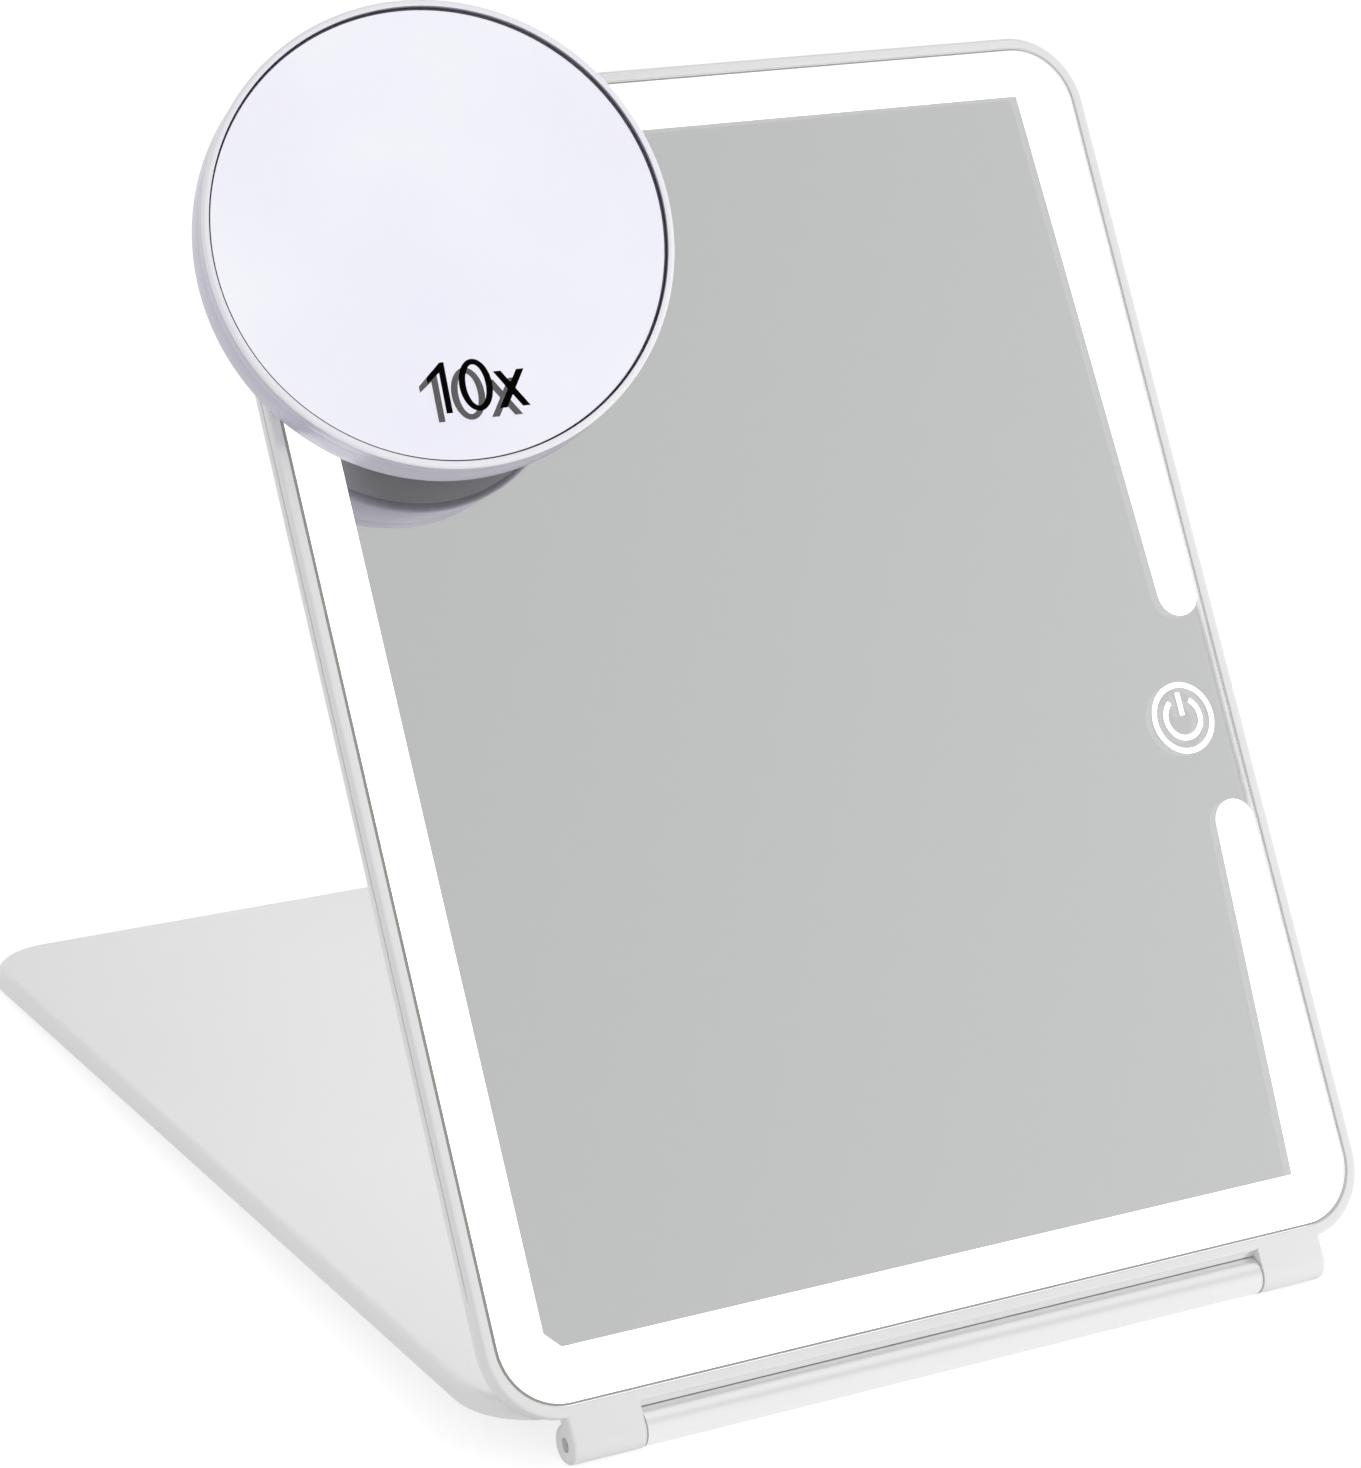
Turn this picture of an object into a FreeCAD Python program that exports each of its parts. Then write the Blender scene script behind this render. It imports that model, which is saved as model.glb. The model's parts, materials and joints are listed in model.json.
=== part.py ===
import FreeCAD, Part
import math
import os
import types

import Sketcher

# Lighted folding mirror: a panel, a cover that folds behind it as a stand, and a stick-on magnifier.
# The hinge axis runs along X and the glass faces -Y; Z is up, zero on the table. Millimetres and degrees.
SIZES = {
    # How far every cut runs past the material it goes through
    "overrun": 1.0,
    # Mirror panel: the glass and the lip of the frame round it
    "glass_width": 165.5,
    "glass_height": 214.0,
    "glass_thickness": 1.8,
    "glass_corner": 10.8,
    "glass_gap": 0.1,
    "frame_lip": 2.0,
    "frame_edge_round": 0.6,
    "panel_depth": 7.0,
    "shell_edge_round": 4.8,
    "groove_depth": 0.5,
    "groove_height": 0.4,
    "groove_end": 8.0,
    # Silvering: lit windows left clear along the edges, wider at the right corners than at the key
    "film": 0.1,
    "window_left": 9.2,
    "window_right": 11.1,
    "window_key": 8.2,
    "window_top": 8.6,
    "window_bottom": 9.1,
    "window_below_key": 15.5,
    "window_above_key": 17.9,
    "silver_cut": 2.6,
    # Touch key symbol: a ring round an open arc and a bar
    "key_height": 90.4,
    "key_inset": 9.8,
    "key_ring": 6.0,
    "key_arc": 3.75,
    "key_line": 1.15,
    "key_bar_top": 4.3,
    "key_bar_foot": 0.4,
    # Light parts behind the glass
    "diffuser_width": 16.5,
    "diffuser_thickness": 1.1,
    "diffuser_gap": 0.2,
    "backing_gap": 0.3,
    "backing_thickness": 0.8,
    "strip_inset": 6.8,
    "strip_width": 5.0,
    "strip_thickness": 0.25,
    "strip_margin": 14.0,
    "strip_key_gap": 5.0,
    "chip_length": 2.4,
    "chip_width": 1.4,
    "chip_height": 0.5,
    "chip_margin": 4.0,
    # Rear shell: seat for the diffuser, ledge for the strips, deep pocket for the battery
    "ledge_drop": 4.0,
    "ledge_inset": 1.6,
    "ledge_low_inset": 5.8,
    "rear_wall": 1.2,
    "pocket_inset": 18.0,
    "pocket_corner": 4.0,
    # Control board, electrode, charging socket and battery
    "electrode_radius": 8.0,
    "electrode_hole": 6.3,
    "board_length": 30.0,
    "board_width": 28.0,
    "board_thickness": 0.8,
    "board_edge_gap": 0.4,
    "board_pocket_gap": 1.0,
    "board_boss_radius": 2.2,
    "board_boss_inset": 3.5,
    "board_screw_radius": 0.8,
    "board_screw_head": 1.5,
    "board_screw_head_height": 0.8,
    "socket_width": 8.94,
    "socket_height": 3.2,
    "socket_wall": 0.3,
    "socket_length": 7.3,
    "socket_recess": 2.6,
    "socket_gap": 0.1,
    "socket_tongue_width": 6.7,
    "socket_tongue_thickness": 0.7,
    "socket_tongue_length": 5.0,
    "socket_base": 1.5,
    "battery_width": 62.0,
    "battery_height": 92.0,
    "battery_thickness": 2.7,
    "battery_corner": 1.5,
    "battery_left": -50.0,
    "battery_low": 55.0,
    "lead_width": 4.0,
    "lead_thickness": 0.3,
    # Hinge: knuckles on the frame, barrel with its leaf on the cover
    "knuckle_radius": 3.3,
    "knuckle_length": 13.0,
    "knuckle_inset": 11.4,
    "knuckle_neck": 2.6,
    "knuckle_end_round": 0.7,
    "edge_drop": 3.9,
    "pin_radius": 1.2,
    "pin_fit": 0.01,
    "pin_recess": 1.2,
    "pin_reach": 11.0,
    "washer_thickness": 0.4,
    "washer_radius": 2.9,
    "washer_fit": 0.05,
    "barrel_radius": 3.2,
    "barrel_bore": 2.2,
    "bush_fit": 0.03,
    "bush_length": 10.0,
    "leaf_thickness": 1.0,
    "leaf_reach": 15.0,
    "leaf_gap": 0.1,
    "leaf_neck": 3.45,
    "leaf_screw_line": 11.0,
    "leaf_screw_pitch": 24.0,
    "leaf_screw_head": 1.9,
    "leaf_screw_shank": 0.9,
    "leaf_screw_length": 2.6,
    "leaf_screw_slot": 0.5,
    "leaf_screw_slot_depth": 0.35,
    # Cover, folded back as the stand
    "cover_gap": 0.35,
    "cover_thickness": 3.4,
    "cover_near": 2.4,
    "cover_far": 220.0,
    "cover_corner": 13.0,
    "cover_edge_round": 1.6,
    "bevel_clearance": 0.4,
    "lining_thickness": 1.0,
    "lining_side": 7.0,
    "lining_near": 22.0,
    "lining_far": 208.3,
    "lining_corner": 8.0,
    "lining_gap": 0.1,
    "pad_radius": 3.0,
    "pad_thickness": 0.8,
    "pad_proud": 0.3,
    "pad_side": 74.0,
    "pad_far": 214.3,
    "pad_near": 18.5,
    # Magnifier, turned a little to the left on the ball of its suction cup
    "magnifier_left": 28.2,
    "magnifier_drop": 28.45,
    "ball_height": 8.6,
    "ball_radius": 3.6,
    "ball_fit": 0.05,
    "neck_radius": 1.7,
    "flange_radius": 6.0,
    "flange_low": 1.8,
    "flange_high": 2.8,
    "cup_radius": 19.0,
    "cup_lip": 1.5,
    "cup_edge": 0.6,
    "cup_hollow": 1.0,
    "cup_crown": 7.5,
    "cup_height": 3.6,
    "housing_radius": 38.8,
    "housing_back": 1.0,
    "housing_depth": 9.6,
    "housing_round": 1.2,
    "housing_wall": 3.4,
    "housing_floor": 1.8,
    "socket_roof": 0.8,
    "socket_side": 1.6,
    "bezel_height": 3.25,
    "bezel_width": 1.45,
    "bezel_round": 0.6,
    "lens_gap": 0.15,
    "lens_drop": 0.9,
    "lens_thickness": 2.0,
    "lens_curve": 240.0,
    "lens_film_inset": 2.2,
    "lens_film_gap": 0.05,
    "retainer_radius": 8.0,
    "retainer_depth": 2.2,
    "retainer_screw_ring": 6.1,
    "retainer_screw_radius": 0.7,
    "retainer_screw_head": 1.25,
    "retainer_screw_head_height": 0.7,
    "retainer_screw_bite": 1.7,
}
ANGLES = {
    "square_angle": 90.0,
    # Half of the gap at the top of the touch key's arc
    "key_gap_angle": 34.0,
    # Bevel of the panel's hinge edge, measured from its rear face's normal
    "panel_bevel_angle": 62.0,
    # Between the panel and the cover when the stand is open
    "rest_opening_angle": 59.8,
    # How the magnifier is set on its ball
    "magnifier_turn_angle": 10.6,
    "magnifier_nod_angle": -1.3,
}
LEAF_SCREWS = 5
RETAINER_SCREWS = 3
SIDE_CHIPS = 12
END_CHIPS = 9
KEY_SIDE_CHIPS = 4

doc = FreeCAD.newDocument("FoldingMirror")
sheet = doc.addObject("Spreadsheet::Sheet", "Sizes")
named = {**SIZES, **ANGLES}
for row, (alias, number) in enumerate(named.items(), 1):
    sheet.set("A%d" % row, str(number))
    sheet.setAlias("A%d" % row, alias)
doc.recompute()


class Size:
    """A length, angle or share from the sheet, kept as an expression and as its number."""

    def __init__(self, text, number):
        self.text = text
        self.number = number

    def __add__(self, other):
        return Size("(%s + %s)" % (self.text, text(other)), self.number + plain(other))

    def __sub__(self, other):
        return Size("(%s - %s)" % (self.text, text(other)), self.number - plain(other))

    def __mul__(self, other):
        return Size("(%s * %s)" % (self.text, text(other)), self.number * plain(other))

    def __truediv__(self, other):
        return Size("(%s / %s)" % (self.text, text(other)), self.number / plain(other))

    def __neg__(self):
        return Size("(0 - %s)" % self.text, -self.number)


def text(value):
    return value.text if isinstance(value, Size) else repr(value)


def plain(value):
    return value.number if isinstance(value, Size) else value


def sine(angle):
    return Size("sin(%s)" % angle.text, math.sin(math.radians(angle.number)))


def cosine(angle):
    return Size("cos(%s)" % angle.text, math.cos(math.radians(angle.number)))


def tangent(angle):
    return Size("tan(%s)" % angle.text, math.tan(math.radians(angle.number)))


def root(value):
    return Size("sqrt(%s)" % value.text, math.sqrt(value.number))


size = types.SimpleNamespace(**{a: Size("Sizes.%s" % a, float(sheet.get(a))) for a in named})

# Panel frame: X across, Y up the panel from the hinge axis, Z out of the glass
front = size.knuckle_radius
glass_back = front - size.glass_thickness
film_back = glass_back - size.film
diffuser_back = film_back - size.diffuser_thickness
rear = front - size.panel_depth
ledge = front - size.ledge_drop
pocket_floor = rear + size.rear_wall
half_glass = size.glass_width / 2
half_panel = half_glass + size.frame_lip
panel_low = size.edge_drop
glass_low = panel_low + size.frame_lip
glass_high = glass_low + size.glass_height
panel_high = glass_high + size.frame_lip
panel_corner = size.glass_corner + size.frame_lip
knuckle_end = half_panel - size.knuckle_inset
knuckle_start = knuckle_end - size.knuckle_length
key_x = half_glass - size.key_inset
key_y = glass_low + size.key_height

# Cover frame: X across, Y away from the hinge axis, Z from the inner face to the outer face
inner_face = front + size.cover_gap
outer_face = inner_face + size.cover_thickness
barrel_end = knuckle_start - size.washer_thickness
cover_bevel = size.rest_opening_angle + size.panel_bevel_angle - size.square_angle
neck_back = front - size.knuckle_neck
lean_sine, lean_cosine = sine(size.rest_opening_angle), cosine(size.rest_opening_angle)
bevel_y = panel_low * lean_cosine - neck_back * lean_sine
bevel_z = panel_low * lean_sine + neck_back * lean_cosine
bevel_line = bevel_z - size.bevel_clearance / cosine(cover_bevel)


def placement(x, y, z, axis, angle):
    """A shift by three sizes and a turn about a named axis."""
    turn = FreeCAD.Rotation(FreeCAD.Vector(*axis), plain(angle))
    return FreeCAD.Placement(FreeCAD.Vector(plain(x), plain(y), plain(z)), turn)


# The stand rests on the knuckles and on the far pads, so the cover slopes down to the rear
pad_y = plain(size.pad_far + size.pad_radius)
pad_z = plain(inner_face - size.pad_proud)
slope = math.degrees(math.atan2(pad_z, pad_y) + math.asin(plain(front) / math.hypot(pad_y, pad_z)))
on_cover = placement(0, 0, front, (1, 0, 0), -slope)
on_panel = placement(0, 0, front, (1, 0, 0), plain(size.rest_opening_angle) - slope)
magnifier_x = size.magnifier_left - half_glass
magnifier_y = glass_high - size.magnifier_drop
on_cup = on_panel.multiply(placement(magnifier_x, magnifier_y, front, (0, 0, 1), 0))
on_head = on_cup.multiply(placement(0, 0, size.ball_height, (0, 1, 0), -size.magnifier_turn_angle))
on_head = on_head.multiply(placement(0, 0, 0, (1, 0, 0), -size.magnifier_nod_angle))


def new_body(name, place):
    body = doc.addObject("PartDesign::Body", name)
    body.Label = name
    body.Placement = place
    return body


def sketch(body, plane, lift=0):
    """A sketch on an origin plane of its body, lifted along the plane's normal."""
    item = body.newObject("Sketcher::SketchObject", body.Name + "_sketch")
    base = [feature for feature in body.Origin.OriginFeatures if feature.Role == plane][0]
    item.AttachmentSupport = [(base, "")]
    item.MapMode = "FlatFace"
    if isinstance(lift, Size):
        item.setExpression("AttachmentOffset.Base.z", lift.text)
    return item


def bind(item, kind, *rest):
    """A dimension bound to its size, which comes last."""
    number = item.addConstraint(Sketcher.Constraint(kind, *rest[:-1], rest[-1].number))
    item.setExpression("Constraints[%d]" % number, rest[-1].text)


def pin_point(item, geometry, point, x, y):
    """Fix a point by its two coordinates; zero means on the axis."""
    for kind, axis, value in (("DistanceX", -2, x), ("DistanceY", -1, y)):
        if isinstance(value, Size):
            bind(item, kind, -1, 1, geometry, point, value)
        else:
            item.addConstraint(Sketcher.Constraint("PointOnObject", geometry, point, axis))


def outline(item, points):
    """A closed outline. A point is (x, y), or (x, y, radius, turn) where an arc arrives at it;
    turn is 1 for an arc that goes round anticlockwise and -1 for clockwise."""
    ends = []
    for index, point in enumerate(points):
        start = FreeCAD.Vector(plain(points[index - 1][0]), plain(points[index - 1][1]), 0)
        end = FreeCAD.Vector(plain(point[0]), plain(point[1]), 0)
        if len(point) == 2:
            number = item.addGeometry(Part.LineSegment(start, end), False)
            ends.append((number, 1, 2))
            continue
        radius, turn = point[2], point[3]
        half = (end - start) * 0.5
        rise = math.sqrt(max(radius.number ** 2 - half.Length ** 2, 0))
        side = FreeCAD.Vector(-half.y, half.x, 0).normalize() * (rise * turn)
        centre = start + half + side
        first, last = (start, end) if turn > 0 else (end, start)
        angles = [math.atan2(spot.y - centre.y, spot.x - centre.x) for spot in (first, last)]
        circle = Part.Circle(centre, FreeCAD.Vector(0, 0, 1), radius.number)
        number = item.addGeometry(Part.ArcOfCircle(circle, *angles), False)
        ends.append((number, 1, 2) if turn > 0 else (number, 2, 1))
    for index, (number, start, end) in enumerate(ends):
        before = ends[index - 1]
        item.addConstraint(Sketcher.Constraint("Coincident", before[0], before[2], number, start))
    for (number, start, end), point in zip(ends, points):
        pin_point(item, number, end, point[0], point[1])
        if len(point) > 2:
            bind(item, "Radius", number, point[2])


def ring(item, x, y, radius):
    circle = Part.Circle(FreeCAD.Vector(plain(x), plain(y), 0), FreeCAD.Vector(0, 0, 1), radius.number)
    number = item.addGeometry(circle, False)
    pin_point(item, number, 3, x, y)
    bind(item, "Radius", number, radius)


def rounded(item, left, low, right, high, radius):
    """A rectangle with four round corners."""
    outline(item, [
        (right - radius, low), (right, low + radius, radius, 1),
        (right, high - radius), (right - radius, high, radius, 1),
        (left + radius, high), (left, high - radius, radius, 1),
        (left, low + radius), (left + radius, low, radius, 1)])


def rectangle(item, left, low, right, high):
    outline(item, [(left, low), (right, low), (right, high), (left, high)])


def pad(body, item, length):
    feature = body.newObject("PartDesign::Pad", body.Name + "_pad")
    feature.Profile = item
    feature.setExpression("Length", length.text)
    item.Visibility = False
    return feature


def cut(body, item, length):
    """Cut from the sketch along its normal."""
    feature = body.newObject("PartDesign::Pocket", body.Name + "_cut")
    feature.Profile = item
    feature.Reversed = True
    feature.setExpression("Length", length.text)
    item.Visibility = False
    return feature


def turned(body, points):
    """A piece turned about Z from its half section in X and Z."""
    item = sketch(body, "XZ_Plane")
    outline(item, points)
    feature = body.newObject("PartDesign::Revolution", body.Name + "_turned")
    feature.Profile = item
    feature.ReferenceAxis = (item, ["V_Axis"])
    feature.Angle = 360
    item.Visibility = False
    return feature


def soften(body, radius, chosen):
    """Round the edges of the body's tip for which chosen(edge) holds."""
    doc.recompute()
    tip = body.Tip
    names = ["Edge%d" % number for number, edge in enumerate(tip.Shape.Edges, 1) if chosen(edge)]
    feature = body.newObject("PartDesign::Fillet", body.Name + "_round")
    feature.Base = (tip, names)
    feature.setExpression("Radius", radius.text)
    return feature


def level(edge, height):
    """Whether an edge lies flat at a height."""
    box = edge.BoundBox
    close = plain(size.film) / 10
    return abs(box.ZMin - plain(height)) < close and abs(box.ZMax - plain(height)) < close


def crosswise(edge, across):
    """Whether an edge lies in the plane at a distance across."""
    box = edge.BoundBox
    close = plain(size.film) / 10
    return abs(box.XMin - plain(across)) < close and abs(box.XMax - plain(across)) < close


def round_edge(edge):
    """Whether an edge is an arc of a circle."""
    return isinstance(edge.Curve, Part.Circle)


def block(name, place, corner, lengths):
    """A box with bound lengths, its low corner given in the frame that it is placed in."""
    item = doc.addObject("Part::Box", name)
    item.Label = name
    for side, length in zip(("Length", "Width", "Height"), lengths):
        item.setExpression(side, length.text)
    item.Placement = place.multiply(placement(*corner, (0, 0, 1), 0))
    return item


def rod(name, place, foot, axis, angle, radius, length):
    """A cylinder with bound sizes that starts at foot."""
    item = doc.addObject("Part::Cylinder", name)
    item.Label = name
    item.setExpression("Radius", radius.text)
    item.setExpression("Height", length.text)
    item.Placement = place.multiply(placement(*foot, axis, angle))
    return item


def joined(kind, name, members, place=None):
    """A boolean or a group of members; the group of separate solids is a compound."""
    item = doc.addObject("Part::" + kind, name)
    item.Label = name
    if kind == "Cut":
        item.Base, item.Tool = members
    elif kind == "Compound":
        item.Links = members
    else:
        item.Shapes = members
    if place:
        item.Placement = place
    return item


here = FreeCAD.Placement()
parts = []

# Front frame: the lip round the glass, side grooves above the parting line, and two hinge knuckles
frame = new_body("front_frame", on_panel)
item = sketch(frame, "XY_Plane", glass_back)
rounded(item, -half_panel, panel_low, half_panel, panel_high, panel_corner)
opening = half_glass + size.glass_gap
rounded(item, -opening, glass_low - size.glass_gap, opening, glass_high + size.glass_gap,
        size.glass_corner + size.glass_gap)
pad(frame, item, size.glass_thickness)
beyond = size.glass_gap * 3 / 2
soften(frame, size.frame_edge_round, lambda edge: level(edge, front) and (
    edge.BoundBox.XMax > plain(half_glass + beyond) or edge.BoundBox.XMin < -plain(half_glass + beyond)
    or edge.BoundBox.YMax > plain(glass_high + beyond) or edge.BoundBox.YMin < plain(glass_low - beyond)))
for side in (-1, 1):
    start = knuckle_start if side > 0 else -knuckle_end
    item = sketch(frame, "YZ_Plane", start)
    ring(item, 0, 0, size.knuckle_radius)
    pad(frame, item, size.knuckle_length)
    item = sketch(frame, "YZ_Plane", start)
    neck_top = panel_low + size.frame_lip / 2
    outline(item, [(0, front), (0, neck_back), (panel_low, neck_back), (panel_low, glass_back),
                   (neck_top, glass_back), (neck_top, front)])
    pad(frame, item, size.knuckle_length)
    outer_end = plain(knuckle_end) * side
    soften(frame, size.knuckle_end_round, lambda edge: crosswise(edge, outer_end) and round_edge(edge))
    item = sketch(frame, "YZ_Plane", start - size.overrun)
    ring(item, 0, 0, size.pin_radius + size.pin_fit)
    cut(frame, item, size.knuckle_length + size.overrun * 2)
    item = sketch(frame, "XY_Plane", glass_back - size.overrun)
    groove_low = panel_low + panel_corner + size.groove_end
    groove_high = panel_high - panel_corner - size.groove_end
    near, far = half_panel - size.groove_depth, half_panel + size.overrun
    if side > 0:
        rectangle(item, near, groove_low, far, groove_high)
    else:
        rectangle(item, -far, groove_low, -near, groove_high)
    cut(frame, item, size.groove_height + size.overrun)
parts.append(frame)

# Mirror glass: a clear sheet, flush with the lip
glass = new_body("mirror_glass", on_panel)
item = sketch(glass, "XY_Plane", glass_back)
rounded(item, -half_glass, glass_low, half_glass, glass_high, size.glass_corner)
pad(glass, item, size.glass_thickness)
parts.append(glass)

# Silvering on the back of the glass, open where the light shines through
silver = new_body("mirror_silvering", on_panel)
silver.AllowCompound = True
item = sketch(silver, "XY_Plane", film_back)
left, low, high = size.window_left - half_glass, glass_low + size.window_bottom, glass_high - size.window_top
right = half_glass - size.window_right
inner = half_glass - size.window_key
end_round = size.window_key / 2
low_end, high_end = key_y - size.window_below_key, key_y + size.window_above_key
outline(item, [
    (left + size.silver_cut, low), (right, low), (inner, low_end - end_round),
    (inner + end_round, low_end, end_round, -1), (half_glass, low_end - end_round, end_round, -1),
    (half_glass, high_end + end_round), (inner + end_round, high_end, end_round, -1),
    (inner, high_end + end_round, end_round, -1), (right, high), (left, high), (left, low + size.silver_cut)])
pad(silver, item, size.film)
item = sketch(silver, "XY_Plane", film_back - size.overrun)
ring(item, key_x, key_y, size.key_ring)
ring(item, key_x, key_y, size.key_ring - size.key_line)
cut(silver, item, size.film + size.overrun * 2)
item = sketch(silver, "XY_Plane", film_back - size.overrun)
wide, thin = size.key_arc, size.key_arc - size.key_line
across, along = sine(size.key_gap_angle), cosine(size.key_gap_angle)
outline(item, [
    (key_x + wide * across, key_y + wide * along), (key_x, key_y - wide, wide, -1),
    (key_x - wide * across, key_y + wide * along, wide, -1), (key_x - thin * across, key_y + thin * along),
    (key_x, key_y - thin, thin, 1), (key_x + thin * across, key_y + thin * along, thin, 1)])
cut(silver, item, size.film + size.overrun * 2)
item = sketch(silver, "XY_Plane", film_back - size.overrun)
rectangle(item, key_x - size.key_line / 2, key_y + size.key_bar_foot,
          key_x + size.key_line / 2, key_y + size.key_bar_top)
cut(silver, item, size.film + size.overrun * 2)
parts.append(silver)

# Diffuser ring behind the lit windows, and the backing plate inside it
diffuser = new_body("light_diffuser", on_panel)
item = sketch(diffuser, "XY_Plane", diffuser_back)
wide = half_glass - size.diffuser_gap
rounded(item, -wide, glass_low + size.diffuser_gap, wide, glass_high - size.diffuser_gap,
        size.glass_corner - size.diffuser_gap)
wide = half_glass - size.diffuser_width
rectangle(item, -wide, glass_low + size.diffuser_width, wide, glass_high - size.diffuser_width)
pad(diffuser, item, size.diffuser_thickness)
parts.append(diffuser)

backing_inset = size.diffuser_width + size.backing_gap
parts.append(block("backing_plate", on_panel,
                   (backing_inset - half_glass, glass_low + backing_inset,
                    film_back - size.backing_thickness),
                   (size.glass_width - backing_inset * 2, size.glass_height - backing_inset * 2,
                    size.backing_thickness)))

# Rear shell: round edges at the rear, a flat bevel along the hinge side, stepped inside
shell = new_body("rear_shell", on_panel)
item = sketch(shell, "XY_Plane", rear)
rounded(item, -half_panel, panel_low, half_panel, panel_high, panel_corner)
pad(shell, item, size.panel_depth - size.glass_thickness)
soften(shell, size.shell_edge_round, lambda edge: level(edge, rear))
item = sketch(shell, "YZ_Plane", -half_panel - size.overrun)
bevel_run = (neck_back - rear + size.overrun) * tangent(size.panel_bevel_angle)
outline(item, [(panel_low, neck_back), (panel_low - size.overrun, neck_back),
               (panel_low - size.overrun, rear - size.overrun), (panel_low + bevel_run, rear - size.overrun)])
cut(shell, item, (half_panel + size.overrun) * 2)
item = sketch(shell, "XY_Plane", diffuser_back)
rounded(item, -opening, glass_low - size.glass_gap, opening, glass_high + size.glass_gap,
        size.glass_corner + size.glass_gap)
cut(shell, item, glass_back - diffuser_back + size.overrun)
item = sketch(shell, "XY_Plane", ledge)
wide = half_glass - size.ledge_inset
rounded(item, -wide, panel_low + size.ledge_low_inset, wide, glass_high - size.ledge_inset,
        size.glass_corner - size.ledge_inset)
cut(shell, item, diffuser_back - ledge + size.overrun)
item = sketch(shell, "XY_Plane", pocket_floor)
wide = half_glass - size.pocket_inset
rounded(item, -wide, glass_low + size.pocket_inset, wide, glass_high - size.pocket_inset, size.pocket_corner)
cut(shell, item, ledge - pocket_floor + size.overrun)
board_right = half_glass - size.ledge_inset - size.board_edge_gap
board_left = board_right - size.board_length
board_low = key_y - size.board_width / 2
board_high = key_y + size.board_width / 2
item = sketch(shell, "XY_Plane", pocket_floor)
rectangle(item, board_left - size.board_pocket_gap, board_low - size.board_pocket_gap,
          half_glass - size.ledge_inset, board_high + size.board_pocket_gap)
cut(shell, item, ledge - pocket_floor + size.overrun)
socket_middle = diffuser_back - size.socket_gap * 2 - size.socket_height / 2
board_back = socket_middle - size.board_thickness / 2
board_front = socket_middle + size.board_thickness / 2
boss_spots = [(board_left + size.board_boss_inset, board_low + size.board_boss_inset),
              (board_left + size.board_boss_inset, board_high - size.board_boss_inset),
              (board_right - size.board_boss_inset, board_low + size.board_boss_inset),
              (board_right - size.board_boss_inset, board_high - size.board_boss_inset)]
for spot in boss_spots:
    item = sketch(shell, "XY_Plane", pocket_floor)
    ring(item, *spot, size.board_boss_radius)
    pad(shell, item, board_back - pocket_floor)
    item = sketch(shell, "XY_Plane", pocket_floor)
    ring(item, *spot, size.board_screw_radius)
    cut(shell, item, board_back - pocket_floor + size.overrun)
socket_right = half_panel - size.socket_recess
socket_left = socket_right - size.socket_length


def slot(item, gap):
    """The round-ended outline of the socket, grown by a gap."""
    rise = size.socket_height / 2 + gap
    reach = size.socket_width / 2 - size.socket_height / 2
    outline(item, [(key_y + reach, socket_middle - rise), (key_y + reach + rise, socket_middle, rise, 1),
                   (key_y + reach, socket_middle + rise, rise, 1), (key_y - reach, socket_middle + rise),
                   (key_y - reach - rise, socket_middle, rise, 1),
                   (key_y - reach, socket_middle - rise, rise, 1)])


item = sketch(shell, "YZ_Plane", socket_left - size.overrun)
slot(item, size.socket_gap)
cut(shell, item, half_panel - socket_left + size.overrun * 2)
parts.append(shell)

# Light strips on the ledge, with a break at the touch key, and the chips on them
strip_x = half_glass - size.strip_inset
strip_low, strip_high = glass_low + size.strip_inset, glass_high - size.strip_inset
side_low, side_high = glass_low + size.strip_margin, glass_high - size.strip_margin
end_reach = half_glass - size.strip_margin
runs = [
    ("y", -strip_x, side_low, side_high, SIDE_CHIPS),
    ("y", strip_x, side_low, low_end - size.strip_key_gap, KEY_SIDE_CHIPS),
    ("y", strip_x, high_end + size.strip_key_gap, side_high, KEY_SIDE_CHIPS + 1),
    ("x", strip_low, -end_reach, end_reach, END_CHIPS),
    ("x", strip_high, -end_reach, end_reach, END_CHIPS),
]
strips, chips = [], []
for axis, line, start, stop, count in runs:
    edge = line - size.strip_width / 2
    if axis == "y":
        corner, lengths = (edge, start, ledge), (size.strip_width, stop - start, size.strip_thickness)
    else:
        corner, lengths = (start, edge, ledge), (stop - start, size.strip_width, size.strip_thickness)
    strips.append(block("strip_%d" % len(strips), here, corner, lengths))
    pitch = (stop - start - size.chip_margin * 2) / (count - 1)
    for number in range(count):
        along = start + size.chip_margin + pitch * number - size.chip_length / 2
        edge = line - size.chip_width / 2
        if axis == "y":
            corner, lengths = (edge, along), (size.chip_width, size.chip_length, size.chip_height)
        else:
            corner, lengths = (along, edge), (size.chip_length, size.chip_width, size.chip_height)
        chips.append(block("chip_%d" % len(chips), here, (*corner, ledge + size.strip_thickness), lengths))
parts.append(joined("Compound", "led_strips", strips, on_panel))
parts.append(joined("Compound", "led_chips", chips, on_panel))

# Touch electrode: a foil ring on the diffuser's back, round the lit symbol
electrode = new_body("touch_electrode", on_panel)
item = sketch(electrode, "XY_Plane", diffuser_back - size.film)
ring(item, key_x, key_y, size.electrode_radius)
ring(item, key_x, key_y, size.electrode_hole)
pad(electrode, item, size.film)
parts.append(electrode)

# Control board on its bosses, notched for the charging socket
board = new_body("control_board", on_panel)
item = sketch(board, "XY_Plane", board_back)
notch = size.socket_width / 2 + size.socket_gap
notch_left = socket_left - size.socket_gap
outline(item, [(board_left, board_low), (board_right, board_low), (board_right, key_y - notch),
               (notch_left, key_y - notch), (notch_left, key_y + notch), (board_right, key_y + notch),
               (board_right, board_high), (board_left, board_high)])
for spot in boss_spots:
    ring(item, *spot, size.board_screw_radius + size.pin_fit)
pad(board, item, size.board_thickness)
parts.append(board)

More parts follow.
